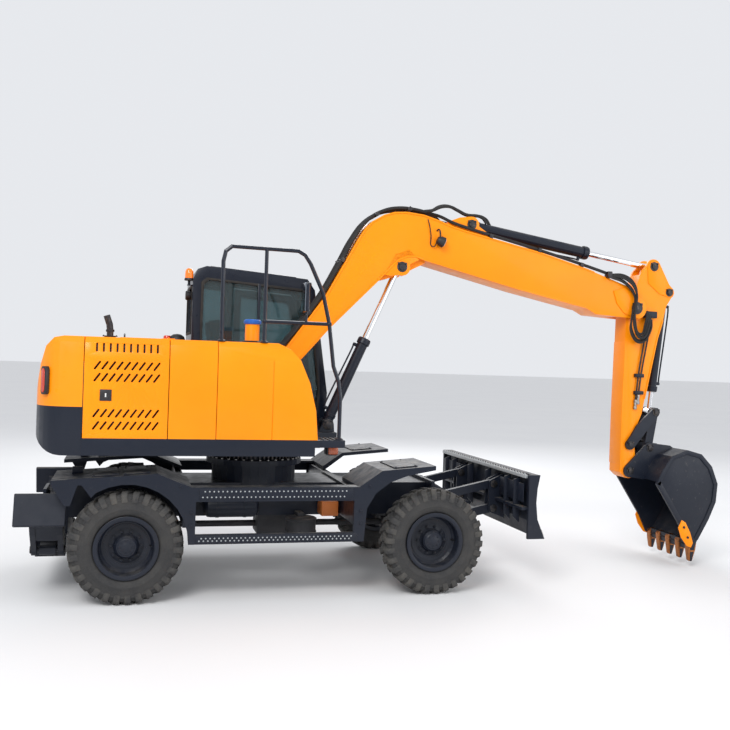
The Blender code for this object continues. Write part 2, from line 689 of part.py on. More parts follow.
def leg_cylinder(side):
    """Barrel and rod of a stabilizer's cylinder, across the machine."""
    base = Vector((LEG_X, side * LEG_BASE_PIN[0], LEG_BASE_PIN[1]))
    end = leg_rod_pin(side)
    way = (end - base).normalized()
    reach = (end - base).length
    half = Vector((0.032, 0, 0))
    radius, rod_radius = 0.036, 0.02
    piece = bar(base + way * 0.02, base + way * LEG_BARREL, radius)
    piece = fuse(piece, bar(base - half, base + half, 0.038))
    hole = bar(base - half * 2, base + half * 2, bore_radius(0.02))
    inside = bar(base + way * 0.07, base + way * (LEG_BARREL + 0.05), bore_radius(rod_radius))
    barrel_piece = cut(piece, hole, inside)
    shaft = bar(end, end - way * (reach - 0.09), rod_radius)
    return barrel_piece, fuse(shaft, bar(end - half, end + half, 0.03))


# Upper structure --------------------------------------------------------------------------------
def platform():
    outline = [
        (PLATFORM_REAR, -UPPER_HALF), (0.24, -UPPER_HALF), (0.24, 0.02 - UPPER_HALF),
        (0.45, 0.02 - UPPER_HALF), (0.45, 0.26 - UPPER_HALF), (0.24, 0.26 - UPPER_HALF), (0.24, -0.20), (PLATFORM_FRONT, -0.20),
        (PLATFORM_FRONT, UPPER_HALF), (PLATFORM_REAR, UPPER_HALF),
    ]
    piece = plate_z(outline, PLATFORM_BOTTOM, PLATFORM_TOP)
    notch = box((0.2, -0.1 - UPPER_HALF, 1.0), (0.5, 0.30 - UPPER_HALF, PLATFORM_TOP - 0.06))
    piece = cut(piece, notch)
    ring = bar((SLEW_X, 0, TURRET_TOP + SEAM), (SLEW_X, 0, PLATFORM_BOTTOM + 0.01), 0.36, TURNED)
    tower = [
        (-0.32, PLATFORM_TOP - 0.01), (0.40, PLATFORM_TOP - 0.01), (0.36, 1.40),
        *arc(BOOM_FOOT, 0.11, 20, 140, 5), (-0.22, 1.50),
    ]
    low = BOOM_HALF + RUNNING_GAP
    parts = [ring]
    parts += [plate(tower, *span) for span in both_sides(low, low + 0.035)]
    parts.append(pin_y(BOOM_FOOT, -low - 0.02, low + 0.02, FOOT_PIN, MAIN_ROUND))
    parts.append(box((-0.34, -low - 0.03, PLATFORM_TOP - 0.01), (-0.26, low + 0.03, 1.45)))
    base = BOOM_BASE_PIN
    ear = [
        (base[0] - 0.09, PLATFORM_TOP - 0.01), (PLATFORM_FRONT, PLATFORM_TOP - 0.01),
        *arc(base, 0.055, 0, 180, 6),
    ]
    parts += [plate(ear, *span) for span in both_sides(0.065, 0.095)]
    parts.append(pin_y(base, -0.075, 0.075))
    return fuse(piece, *parts)


def shoulder_cutter(side, x_low, x_high):
    """What the sloped shoulder takes off the top outer edge of the right or left panels."""
    y_out = side * (UPPER_HALF + 0.05)
    outline = [
        (y_out, HOOD_TOP - SHOULDER_DROP), (side * UPPER_HALF, HOOD_TOP - SHOULDER_DROP),
        (side * (UPPER_HALF - SHOULDER_IN * 0.35), HOOD_TOP - SHOULDER_DROP * 0.3),
        (side * (UPPER_HALF - SHOULDER_IN), HOOD_TOP), (side * (UPPER_HALF - SHOULDER_IN), HOOD_TOP + 0.05),
        (y_out, HOOD_TOP + 0.05),
    ]
    return plate_x(outline, x_low, x_high)


def shoulder_panel(side, x_low, x_high, inner_y, rail=0.0):
    """A body panel with a sloped shoulder and a top that reaches in to inner_y."""
    z_low = PLATFORM_TOP + SEAM
    out, mid = UPPER_HALF, UPPER_HALF - PANEL
    top = HOOD_TOP - PANEL
    outline = [
        (side * out, z_low), (side * out, HOOD_TOP - SHOULDER_DROP),
        (side * (out - SHOULDER_IN * 0.35), HOOD_TOP - SHOULDER_DROP * 0.3),
        (side * (out - SHOULDER_IN), HOOD_TOP), (side * inner_y, HOOD_TOP), (side * inner_y, top),
        (side * (mid - SHOULDER_IN + 0.01), top),
        (side * (mid - SHOULDER_IN * 0.35), HOOD_TOP - SHOULDER_DROP * 0.3 - 0.01),
        (side * mid, HOOD_TOP - SHOULDER_DROP), (side * mid, z_low + rail),
    ]
    if rail:
        outline += [(side * (mid - rail), z_low + rail), (side * (mid - rail), z_low)]
    else:
        outline += [(side * mid, z_low)]
    return plate_x(outline, x_low, x_high)


def side_door():
    """Louvered door on the right, with its three rows of slots cut."""
    piece = shoulder_panel(-1, DOOR_REAR, COVER_REAR - 0.006, LID_HALF + 0.006)
    return piece


def side_cover():
    panel = shoulder_panel(-1, COVER_REAR, TANK_REAR - 0.005, CORRIDOR + 0.01, rail=0.05)
    return fuse(panel, *lid_hinge_half(-0.65, -0.60 - SEAM, LID_HINGE[0] + 0.05))


def left_cover():
    panel = shoulder_panel(1, DOOR_REAR, CAB_REAR - 0.025, LID_HALF + 0.006, rail=0.05)
    y_in = UPPER_HALF - SHOULDER_IN
    shelf = box((COVER_REAR, -CORRIDOR, HOOD_TOP - PANEL), (CAB_REAR - 0.025, y_in, HOOD_TOP))
    return fuse(panel, shelf, *lid_hinge_half(0.60 + SEAM, 0.65, LID_HINGE[0] + 0.05))


def fuel_tank():
    outline = [
        (TANK_REAR, PLATFORM_TOP + SEAM), (TANK_FRONT, PLATFORM_TOP + SEAM), (TANK_FRONT - 0.02, 1.50),
        (TANK_FRONT - 0.075, 1.72), (TANK_FRONT - 0.155, 1.90), (TANK_FRONT - 0.235, 1.985),
        (TANK_FRONT - 0.33, HOOD_TOP), (TANK_REAR, HOOD_TOP),
    ]
    piece = plate(outline, -UPPER_HALF, -CORRIDOR)
    piece = cut(piece, shoulder_cutter(-1, TANK_REAR - 0.1, TANK_FRONT + 0.1))
    y_neck = 0.24 - UPPER_HALF
    neck = bar((-0.30, y_neck, HOOD_TOP - 0.02), (-0.30, y_neck, HOOD_TOP + 0.175), 0.058)
    return fuse(piece, neck)


def counterweight():
    """Cast rear mass with rounded rear corners and a tucked lower edge."""
    radius = 0.28
    front = PLATFORM_REAR - SEAM
    outline = [(front, UPPER_HALF)]
    outline += arc((TAIL + radius, UPPER_HALF - radius), radius, 90, 175, 7)
    outline += [(TAIL - 0.012, 0.3), (TAIL - 0.012, -0.3)]
    outline += arc((TAIL + radius, -UPPER_HALF + radius), radius, 185, 270, 7)
    outline += [(front, -UPPER_HALF)]
    piece = plate_z(outline, PLATFORM_BOTTOM, HOOD_TOP)
    low = PLATFORM_BOTTOM
    heel = [
        (TAIL - 0.1, low - 0.1), (TAIL + 0.19, low - 0.1), (TAIL + 0.19, low),
        *arc((TAIL + 0.19, low + 0.20), 0.20, 270, 190, 6), (TAIL - 0.1, low + 0.2),
    ]
    brow = [
        (TAIL - 0.1, HOOD_TOP + 0.1), (TAIL - 0.1, HOOD_TOP - 0.5), (TAIL - 0.012, HOOD_TOP - 0.5),
        (TAIL + 0.03, HOOD_TOP - 0.22), (TAIL + 0.07, HOOD_TOP - 0.08), (TAIL + 0.13, HOOD_TOP - 0.015),
        (TAIL + 0.20, HOOD_TOP), (TAIL + 0.20, HOOD_TOP + 0.1),
    ]
    piece = cut(
        piece,
        plate(heel, -1.1, 1.1),
        plate(brow, -1.1, 1.1),
        shoulder_cutter(-1, TAIL - 0.2, 0),
        shoulder_cutter(1, TAIL - 0.2, 0),
    )
    strip = box((front - 0.02, -LID_HALF, HOOD_TOP - PANEL), (LID_REAR - 0.006, LID_HALF, HOOD_TOP))
    return fuse(piece, strip)


LID_HINGE = (COVER_REAR - 0.003, HOOD_TOP + 0.011)


def lid_hinge_half(y_low, y_high, leaf_x):
    """A knuckle on the lid's hinge line, with a leaf that lies on the hood."""
    knuckle_bar = pin_y(LID_HINGE, y_low, y_high, 0.009)
    x_low, x_high = sorted((LID_HINGE[0], leaf_x))
    return knuckle_bar, box((x_low, y_low, HOOD_TOP - 0.002), (x_high, y_high, LID_HINGE[1] + 0.002))


def hood_lid():
    lid = box(
        (LID_REAR, -LID_HALF, HOOD_TOP - PANEL), (COVER_REAR - 0.006, LID_HALF, HOOD_TOP + 0.004),
        bevel=0.004,
    )
    parts = []
    for y_low, y_high in both_sides(0.55, 0.60):
        parts += lid_hinge_half(y_low, y_high, LID_HINGE[0] - 0.05)
    return fuse(lid, *parts)


def exhaust_pipe():
    x_pipe, y_pipe = -1.41, -0.55
    base = HOOD_TOP + SEAM
    points = [
        (x_pipe, y_pipe, base), (x_pipe, y_pipe, base + 0.06), (x_pipe - 0.006, y_pipe, base + 0.11),
        (x_pipe - 0.02, y_pipe, base + 0.15), (x_pipe - 0.03, y_pipe, base + 0.18),
    ]
    flange = bar((x_pipe, y_pipe, base), (x_pipe, y_pipe, base + 0.012), 0.045)
    return fuse(tube(points, 0.026), flange)


def engine():
    return box((-1.42, -0.42, PLATFORM_TOP + SEAM), (-0.86, 0.42, 1.88), bevel=0.02)


# Cab --------------------------------------------------------------------------------------------
WINDSHIELD_LOW, WINDSHIELD_HIGH = 1.62, 2.50
CAB_NOSE = PLATFORM_FRONT - 0.01


def cab_front_x(z):
    """How far forward the leaning upper front of the cab is, at a height."""
    lean = (CAB_NOSE - 0.40) / (2.58 - 1.60)
    return CAB_NOSE - (z - 1.60) * lean


def cab_outline(inset=0.0):
    bottom = PLATFORM_TOP + SEAM
    return [
        (CAB_REAR + inset, bottom + inset), (CAB_NOSE - 0.03 - inset, bottom + inset),
        (CAB_NOSE - inset, 1.60), (cab_front_x(2.56) - inset, 2.56), (0.33 - inset * 0.5, 2.66 - inset),
        (-0.60, CAB_TOP - inset), (-0.68 + inset * 0.7, CAB_TOP - 0.03 - inset),
        (CAB_REAR + inset, CAB_TOP - 0.13 - inset * 0.5),
    ]


SIDE_WINDOW = [(-0.64, 1.42), (0.46, 1.42), (0.475, 1.62), (0.355, 2.50), (0.30, 2.56), (-0.60, 2.62), (-0.64, 2.58)]
DOOR_OUTLINE = [(-0.27, 1.36), (0.47, 1.36), (0.49, 1.60), (0.36, 2.50), (0.31, 2.56), (-0.27, 2.60)]
DOOR_WINDOW = [(-0.20, 1.62), (0.42, 1.62), (0.30, 2.46), (0.27, 2.49), (-0.20, 2.52)]
DOOR_HINGE = (DOOR_OUTLINE[0][0], CAB_OUTER_Y + HINGE_RADIUS + SEAM)
HINGE_HEIGHTS = (1.50, 2.36)
QUARTER_WINDOW = [(-0.64, 1.75), (-0.35, 1.75), (-0.35, 2.58), (-0.61, 2.60), (-0.64, 2.57)]


def inset_outline(outline, gap):
    """An outline moved in by a gap on every side, for a convex outline."""
    count = len(outline)
    area = sum(
        outline[i][0] * outline[(i + 1) % count][1] - outline[(i + 1) % count][0] * outline[i][1]
        for i in range(count)
    )
    turn = 1 if area > 0 else -1
    lines = []
    for i in range(count):
        start, end = Vector(outline[i]), Vector(outline[(i + 1) % count])
        way = (end - start).normalized()
        normal = Vector((-way.y, way.x)) * turn
        lines.append((start + normal * gap, way))
    points = []
    for i in range(count):
        (a, u), (b, v) = lines[i - 1], lines[i]
        cross = u.x * v.y - u.y * v.x
        t = ((b.x - a.x) * v.y - (b.y - a.y) * v.x) / cross
        points.append(tuple(a + u * t))
    return points


def windshield_outline(gap, depth):
    low, high = WINDSHIELD_LOW + gap, WINDSHIELD_HIGH - gap
    middle = CAB_WALL / 2
    return [
        (cab_front_x(low) - middle - depth, low), (cab_front_x(low) - middle + depth, low),
        (cab_front_x(high) - middle + depth, high), (cab_front_x(high) - middle - depth, high),
    ]


def cab_shell():
    piece = plate(cab_outline(), CAB_INNER_Y, CAB_OUTER_Y)
    inside = plate(cab_outline(CAB_WALL), CAB_INNER_Y + CAB_WALL, CAB_OUTER_Y - CAB_WALL)
    y_glass = (CAB_INNER_Y + 0.07, CAB_OUTER_Y - 0.07)
    right = (CAB_INNER_Y - 0.1, CAB_INNER_Y + CAB_WALL + 0.01)
    left = (CAB_OUTER_Y - CAB_WALL - 0.01, CAB_OUTER_Y + 0.1)
    piece = cut(
        piece,
        inside,
        plate(windshield_outline(0, 0.1), *y_glass),
        box((CAB_REAR - 0.1, y_glass[0], 2.12), (CAB_REAR + 0.08, y_glass[1], 2.55)),
        plate(SIDE_WINDOW, *right),
        plate(DOOR_OUTLINE, *left),
        plate(QUARTER_WINDOW, *left),
    )
    x_hinge, y_hinge = DOOR_HINGE
    parts = []
    for z_low in HINGE_HEIGHTS:
        low = z_low + 0.05 + SEAM
        parts += hinge_half(x_hinge, y_hinge, low, low + 0.04, x_hinge - 0.06)
    return fuse(piece, *parts)


def hinge_half(axis_x, axis_y, z_low, z_high, leaf_x):
    """A knuckle round an upright hinge line, with a leaf that lies on the cab's side."""
    knuckle_bar = bar((axis_x, axis_y, z_low), (axis_x, axis_y, z_high), HINGE_RADIUS)
    outward = 1 if leaf_x > axis_x else -1
    x_low, x_high = sorted((axis_x + outward * 0.001, leaf_x))
    leaf = box((x_low, CAB_OUTER_Y - 0.002, z_low), (x_high, axis_y + 0.002, z_high))
    return knuckle_bar, leaf


def cab_door():
    outline = inset_outline(DOOR_OUTLINE, RUNNING_GAP + 0.001)
    low, high = CAB_OUTER_Y - CAB_WALL, CAB_OUTER_Y
    piece = plate(outline, low, high, holes=[DOOR_WINDOW])
    x_hinge, y_hinge = DOOR_HINGE
    parts = []
    for z_low in HINGE_HEIGHTS:
        parts += hinge_half(x_hinge, y_hinge, z_low, z_low + 0.05, x_hinge + 0.06)
    return fuse(piece, *parts)


def pane(outline, y_middle):
    return plate(inset_outline(outline, SEAM), y_middle - GLASS / 2, y_middle + GLASS / 2)


def windshield():
    return plate(windshield_outline(SEAM, GLASS / 2), CAB_INNER_Y + 0.07 + SEAM, CAB_OUTER_Y - 0.07 - SEAM)


def rear_window():
    x_middle = CAB_REAR + CAB_WALL / 2
    low = (x_middle - GLASS / 2, CAB_INNER_Y + 0.07 + SEAM, 2.12 + SEAM)
    high = (x_middle + GLASS / 2, CAB_OUTER_Y - 0.07 - SEAM, 2.55 - SEAM)
    return box(low, high)


def seat():
    y_mid = (CAB_INNER_Y + CAB_OUTER_Y) / 2
    floor = PLATFORM_TOP + CAB_WALL + 2 * SEAM
    base = box((-0.42, y_mid - 0.20, floor), (-0.06, y_mid + 0.20, floor + 0.26))
    cushion = box((-0.46, y_mid - 0.24, floor + 0.25), (0.02, y_mid + 0.24, floor + 0.38), bevel=0.02)
    back = [(-0.46, floor + 0.30), (-0.34, floor + 0.30), (-0.42, floor + 0.95), (-0.53, floor + 0.95)]
    return fuse(base, cushion, plate(back, y_mid - 0.23, y_mid + 0.23))


def hand_rail():
    y_rail, radius = 0.075 - UPPER_HALF, 0.0165
    base = HOOD_TOP - 0.0
    frame = [
        (-0.56, base + SEAM), (-0.565, 2.66), (-0.548, 2.74), (-0.50, 2.78), (0.03, 2.775),
        (0.085, 2.745), (0.13, 2.68), (0.24, 2.45), (0.30, 2.20), (0.345, 1.86), (0.39, 1.74),
        (0.41, 1.60), (0.41, PLATFORM_TOP + SEAM),
    ]
    piece = tube([(x, y_rail, z) for x, z in frame], radius)
    post = tube([(-0.225, y_rail, base + SEAM), (-0.225, y_rail, 2.78)], radius * 0.9)
    middle = tube([(-0.225, y_rail, 2.20), (0.30, y_rail, 2.20)], radius * 0.9)
    holder = tube([(0.11, y_rail, 2.20), (0.11, y_rail, 2.44)], radius * 0.6)
    mirror = box((0.085, y_rail - 0.10, 2.29), (0.115, y_rail + 0.08, 2.52), bevel=0.012)
    return fuse(piece, post, middle, holder, mirror)


# Boom, arm and bucket ---------------------------------------------------------------------------
def boom():
    foot = arc(BOOM_FOOT, 0.10, 160, 310, 8)
    tip = arc(ARM_PIVOT, 0.11, -75, 50, 6)
    outline = [
        *foot, (0.223, 1.914), (0.470, 2.196), (0.896, 2.632), (1.031, 2.777), (1.10, 2.845),
        (1.180, 2.883), (1.26, 2.888), (1.334, 2.865), (2.295, 2.643), (3.016, 2.498), (3.12, 2.445),
        *tip, (3.45, 2.735), (3.002, 2.880), (2.516, 3.005), (1.72, 3.165), (1.60, 3.195), (1.476, 3.238),
        (1.33, 3.278), (1.166, 3.292), (1.05, 3.283), (0.95, 3.25), (0.845, 3.186), (0.775, 3.11),
        (0.723, 3.026), (0.426, 2.477), (0.110, 2.042), (-0.075, 1.79),
    ]
    piece = plate(outline, -BOOM_HALF, BOOM_HALF)
    pocket = pin_y(BOOM_ROD_PIN, -0.068, 0.068, 0.10)
    slot = plate(
        [(3.36, 2.2), (3.9, 2.2), (3.9, 2.95), (3.14, 2.95), (3.20, 2.70), (3.36, 2.50)],
        -ARM_HALF - RUNNING_GAP, ARM_HALF + RUNNING_GAP,
    )
    piece = cut(piece, pocket, slot)
    ear = [
        (0.93, 2.655), (1.05, 2.69), *arc(BOOM_ROD_PIN, 0.075, 250, 330, 4), (1.37, 2.84),
        (1.36, 2.88), (1.20, 2.95), (1.0, 2.80),
    ]
    parts = [plate(ear, *span) for span in both_sides(0.068, 0.10)]
    bracket = [
        (1.60, 3.17), (2.02, 3.07), (1.99, 3.16), *arc(ARM_BASE_PIN, 0.075, -10, 100, 5),
        (1.70, 3.29), (1.58, 3.24),
    ]
    parts += [plate(bracket, *span) for span in both_sides(0.068, 0.10)]
    main_pin = pin_y(ARM_PIVOT, -BOOM_HALF + 0.01, BOOM_HALF - 0.01, ARM_PIN, MAIN_ROUND)
    piece = fuse(piece, *parts, pin_y(ARM_BASE_PIN, -0.08, 0.08), main_pin)
    hole = pin_y(BOOM_FOOT, -0.3, 0.3, bore_radius(FOOT_PIN, MAIN_ROUND), MAIN_ROUND)
    return cut(piece, hole)


def arm():
    outline = [
        *arc(ARM_ROD_PIN, 0.075, 170, 30, 6), (3.955, 2.775), *arc(BUCKET_BASE_PIN, 0.06, 45, -60, 4),
        (3.925, 2.56), (3.895, 2.42), (3.838, 2.236), (3.761, 1.857), (3.687, 1.481),
        (3.62, 1.32), (3.615, 1.20), (3.63, 1.05), *arc(BUCKET_PIVOT, 0.075, 20, -120, 6), (3.466, 0.90),
        (3.466, 1.477), (3.478, 2.20), *arc(ARM_PIVOT, 0.125, 230, 140, 5), (3.572, 2.71),
        (3.64, 2.90),
    ]
    piece = plate(outline, -ARM_HALF, ARM_HALF)
    rod_slot = pin_y(ARM_ROD_PIN, -0.066, 0.066, 0.17)
    barrel_slot = pin_y(BUCKET_BASE_PIN, -0.066, 0.066, 0.085)
    lane = plate(
        [(3.865, 2.70), (4.1, 2.70), (4.1, 1.5), (3.70, 1.5)], -0.066, 0.066,
    )
    holes = [
        pin_y(ARM_PIVOT, -0.2, 0.2, bore_radius(ARM_PIN, MAIN_ROUND), MAIN_ROUND),
        pin_y(ROCKER_FOOT, -0.2, 0.2, bore_radius(PIN)),
        pin_y(BUCKET_PIVOT, -0.2, 0.2, bore_radius(PIN)),
    ]
    piece = cut(piece, rod_slot, barrel_slot, lane, *holes)
    pin = pin_y(BUCKET_BASE_PIN, -0.08, 0.08, 0.024)
    return fuse(piece, pin)


def rocker():
    low, high = ARM_HALF + 0.006, ARM_HALF + 0.03
    along = math.degrees(math.atan2(ROCKER_TOP[1] - ROCKER_FOOT[1], ROCKER_TOP[0] - ROCKER_FOOT[0]))
    outline = [
        *arc(ROCKER_FOOT, 0.05, along + 110, along + 270, 6),
        *arc(ROCKER_TOP, 0.045, along - 90, along + 90, 5),
        (3.70, 1.44), (3.62, 1.36), (3.56, 1.26),
    ]
    parts = [plate(outline, *span) for span in both_sides(low, high)]
    stubs = [pin_y(ROCKER_TOP, *span, 0.024) for span in both_sides(0.052, high - 0.005)]
    shaft = pin_y(ROCKER_FOOT, -high + 0.005, high - 0.005)
    return fuse(shaft, *parts, *stubs)


def bucket_link():
    """Two plates from the rocker's top pin to the bucket, tied across their middle."""
    low, high = 0.054, ARM_HALF
    outline_start, outline_end = ROCKER_TOP, LINK_PIN
    along = math.degrees(
        math.atan2(outline_end[1] - outline_start[1], outline_end[0] - outline_start[0])
    )
    outline = arc(outline_start, 0.045, along + 90, along + 270, 6)
    outline += arc(outline_end, 0.042, along - 90, along + 90, 6)
    holes = [circle(outline_start, bore_radius(0.024))]
    parts = [plate(outline, *span, holes=holes) for span in both_sides(low, high)]
    tie_at = on_line(outline_end, outline_start, 0.075)
    tie = pin_y(tie_at, -low - 0.01, low + 0.01, 0.03)
    return fuse(tie, *parts)


BUCKET_OUTLINE = [
    (3.70, 0.82), (3.76, 0.95), (3.86, 1.09), (4.03, 1.15), (4.19, 1.11), (4.31, 0.99),
    (4.38, 0.82), (4.365, 0.64), (4.29, 0.47), (4.175, 0.27), (4.14, 0.20), (4.07, 0.22), (3.98, 0.40),
]
TOOTH_ROOT, TOOTH_TIP = (4.125, 0.225), (4.12, 0.062)


def bucket():
    wall = 0.02
    piece = plate(BUCKET_OUTLINE, -BUCKET_HALF, BUCKET_HALF)
    hollow = [
        (3.60, 0.83), (3.735, 0.845), (3.79, 0.945), (3.875, 1.065), (4.03, 1.127), (4.175, 1.09),
        (4.29, 0.98), (4.358, 0.82), (4.343, 0.645), (4.27, 0.48), (4.155, 0.28), (4.11, 0.235),
        (4.02, 0.16), (3.8, 0.3),
    ]
    piece = cut(piece, plate(hollow, -BUCKET_HALF + wall, BUCKET_HALF - wall))
    ear = [
        *arc(BUCKET_PIVOT, 0.065, 130, 290, 6), (3.72, 0.83), (3.80, 0.95), (3.90, 1.08), (4.04, 1.145),
        (4.0, 1.17), (3.86, 1.185), *arc(LINK_PIN, 0.052, 60, 150, 4),
    ]
    low, high = ARM_HALF + 0.006, ARM_HALF + 0.031
    parts = [plate(ear, *span) for span in both_sides(low, high)]
    parts.append(pin_y(BUCKET_PIVOT, -high + 0.005, high - 0.005))
    lip = [(4.095, 0.262), (4.165, 0.258), (4.145, 0.17), (4.105, 0.17)]
    parts.append(plate(lip, -BUCKET_HALF + 0.005, BUCKET_HALF - 0.005))
    tooth = [
        (TOOTH_ROOT[0] - 0.032, TOOTH_ROOT[1]), (TOOTH_ROOT[0] + 0.036, TOOTH_ROOT[1]),
        (TOOTH_TIP[0] + 0.006, TOOTH_TIP[1]), (TOOTH_TIP[0] - 0.006, TOOTH_TIP[1]),
    ]
    pitch = (2 * BUCKET_HALF - 0.08) / (TOOTH_COUNT - 1)
    for number in range(TOOTH_COUNT):
        middle = -BUCKET_HALF + 0.04 + number * pitch
        parts.append(plate(tooth, middle - 0.03, middle + 0.03))
    return fuse(piece, *parts)


# Assembly ---------------------------------------------------------------------------------------
def place(at, y=0.0):
    return (at[0], y, at[1])


def build_undercarriage(chassis):
    carry(chassis_frame(), "chassis_frame", chassis, "navy")
    carry(side_frame(1), "left_side_frame", chassis, "navy")
    carry(side_frame(-1), "right_side_frame", chassis, "navy")
    carry(front_axle(), "front_axle", chassis, "navy")
    carry(rear_axle(), "rear_axle", chassis, "navy")
    carry(transmission(), "transmission", chassis, "iron")
    carry(stabilizer_beam(), "stabilizer_beam", chassis, "navy")
    for side, word in ((1, "left"), (-1, "right")):
        steer = body(word + "_steer", chassis, (FRONT_X, side * KINGPIN_Y, AXLE_Z))
        carry(knuckle(side), word + "_knuckle", steer, "iron")
        for x_wheel, end, holder in ((FRONT_X, "front", steer), (REAR_X, "rear", chassis)):
            name = f"{end}_{word}"
            wheel = body(name + "_wheel", holder, (x_wheel, side * WHEEL_Y, AXLE_Z))
            carry(tyre(x_wheel, side), name + "_tyre", wheel, "tyre")
            carry(rim(x_wheel, side), name + "_rim", wheel, "navy")
        leg = body(word + "_leg", chassis, (LEG_X, side * LEG_PIVOT[0], LEG_PIVOT[1]))
        carry(stabilizer_leg(side), word + "_stabilizer", leg, "navy")
        barrel_piece, rod_piece = leg_cylinder(side)
        turn = body(word + "_leg_barrel", chassis, (LEG_X, side * LEG_BASE_PIN[0], LEG_BASE_PIN[1]))
        slide = body(word + "_leg_rod", turn, leg_rod_pin(side))
        carry(barrel_piece, word + "_stabilizer_barrel", turn, "navy")
        carry(rod_piece, word + "_stabilizer_rod", slide, "chrome")


def build_blade(chassis):
    arms = body("blade_arms", chassis, place(BLADE_ARM_FOOT))
    board = body("blade", arms, place(BLADE_PIN))
    upper = (BLADE_ARM_FOOT[0], 0, BLADE_ARM_FOOT[1] + BLADE_LINK_RISE)
    carry(blade_arms(), "blade_arms", arms, "navy")
    carry(dozer_blade(), "dozer_blade", board, "navy")
    for side, word in ((1, "left"), (-1, "right")):
        link = body(word + "_blade_link", chassis, upper)
        carry(blade_link(side), word + "_blade_link", link, "navy")
    turn = body("blade_barrel", chassis, place(BLADE_BASE_PIN))
    slide = body("blade_rod", turn, place(BLADE_ROD_PIN))
    carry(
        barrel(BLADE_BASE_PIN, BLADE_ROD_PIN, 0.36, 0.04, 0.02, 0.038, 0.02),
        "blade_barrel", turn, "navy",
    )
    carry(rod(BLADE_BASE_PIN, BLADE_ROD_PIN, 0.31, 0.02, 0.034, 0.03), "blade_rod", slide, "chrome")


def build_upper(upper):
    carry(platform(), "platform", upper, "navy")
    carry(counterweight(), "counterweight", upper, "yellow")
    carry(engine(), "engine", upper, "iron")
    carry(side_cover(), "side_cover", upper, "yellow")
    carry(left_cover(), "left_cover", upper, "yellow")
    carry(fuel_tank(), "fuel_tank", upper, "yellow")
    carry(exhaust_pipe(), "exhaust_pipe", upper, "iron")
    carry(cab_shell(), "cab_shell", upper, "navy")
    carry(windshield(), "windshield", upper, "glass")
    carry(rear_window(), "rear_window", upper, "glass")
    carry(pane(SIDE_WINDOW, CAB_INNER_Y + CAB_WALL / 2), "right_window", upper, "glass")
    carry(pane(QUARTER_WINDOW, CAB_OUTER_Y - CAB_WALL / 2), "quarter_window", upper, "glass")
    carry(seat(), "seat", upper, "seat")
    carry(hand_rail(), "hand_rail", upper, "navy")
    door = body("cab_door", upper, (*DOOR_HINGE, 2.0))
    carry(cab_door(), "cab_door", door, "navy")
    carry(pane(DOOR_WINDOW, CAB_OUTER_Y - CAB_WALL / 2), "door_window", door, "glass")
    louvered = body("side_door", upper, (COVER_REAR - 0.006, -UPPER_HALF + 0.004, 1.6))
    carry(side_door(), "side_door", louvered, "yellow")
    lid = body("hood_lid", upper, place(LID_HINGE))
    carry(hood_lid(), "hood_lid", lid, "yellow")


def build_work_gear(upper):
    boom_body = body("boom", upper, place(BOOM_FOOT))
    arm_body = body("arm", boom_body, place(ARM_PIVOT))
    bucket_body = body("bucket", arm_body, place(BUCKET_PIVOT))
    carry(boom(), "boom", boom_body, "yellow")
    carry(arm(), "arm", arm_body, "yellow")
    carry(bucket(), "bucket", bucket_body, "navy")
    rocker_body = body("rocker", arm_body, place(ROCKER_FOOT))
    link_body = body("bucket_link", rocker_body, place(ROCKER_TOP))
    carry(rocker(), "rocker", rocker_body, "navy")
    carry(bucket_link(), "bucket_link", link_body, "navy")
    cylinders = (
        ("boom", upper, BOOM_BASE_PIN, BOOM_ROD_PIN, 0.86, 0.05, 0.03, 0.06, PIN, 1.025),
        ("arm", boom_body, ARM_BASE_PIN, ARM_ROD_PIN, 1.27, 0.055, 0.03, 0.06, PIN, 1.38),
        ("bucket", arm_body, BUCKET_BASE_PIN, ROCKER_TOP, 1.0, 0.044, 0.026, 0.046, 0.024, 1.01),
    )
    for word, holder, base, eye, length, radius, rod_radius, half, pin_radius, shaft in cylinders:
        turn = body(word + "_barrel", holder, place(base))
        slide = body(word + "_rod", turn, place(eye))
        shape = barrel(base, eye, length, radius, rod_radius, half, pin_radius)
        carry(shape, word + "_barrel", turn, "navy")
        eye_radius = 0.045 if word != "bucket" else 0.04
        carry(rod(base, eye, shaft, rod_radius, half - 0.002, eye_radius), word + "_rod", slide, "chrome")


def main():
    clear_scene()
    collection("excavator")
    chassis = body("chassis", None, (0, 0, 0))
    upper = body("upper", chassis, (SLEW_X, 0, TURRET_TOP))
    build_undercarriage(chassis)
    build_blade(chassis)
    build_upper(upper)
    build_work_gear(upper)


main()
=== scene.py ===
"""Wheeled excavator: its visible finish, detail and stage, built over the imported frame."""

import json
import math

import bpy
from bpy.props import FloatProperty, FloatVectorProperty, IntProperty, PointerProperty
from mathutils import Matrix, Vector


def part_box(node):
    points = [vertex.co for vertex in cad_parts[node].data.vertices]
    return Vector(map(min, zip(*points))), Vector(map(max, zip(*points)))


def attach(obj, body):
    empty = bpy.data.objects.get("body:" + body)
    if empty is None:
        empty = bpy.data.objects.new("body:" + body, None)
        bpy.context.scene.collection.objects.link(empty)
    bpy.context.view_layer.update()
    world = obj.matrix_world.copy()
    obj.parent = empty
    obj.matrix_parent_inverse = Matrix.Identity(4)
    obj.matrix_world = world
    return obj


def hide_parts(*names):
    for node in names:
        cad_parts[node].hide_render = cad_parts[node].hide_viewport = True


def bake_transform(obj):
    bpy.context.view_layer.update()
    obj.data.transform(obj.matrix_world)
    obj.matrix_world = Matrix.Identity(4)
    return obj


bl_info = {
    "name": "Wheeled excavator",
    "version": (1, 0, 0),
    "blender": (4, 5, 0),
    "location": "View3D > Sidebar > Excavator",
    "description": "Dresses the excavator's frame with its visible pieces and finishes",
    "category": "Object",
}

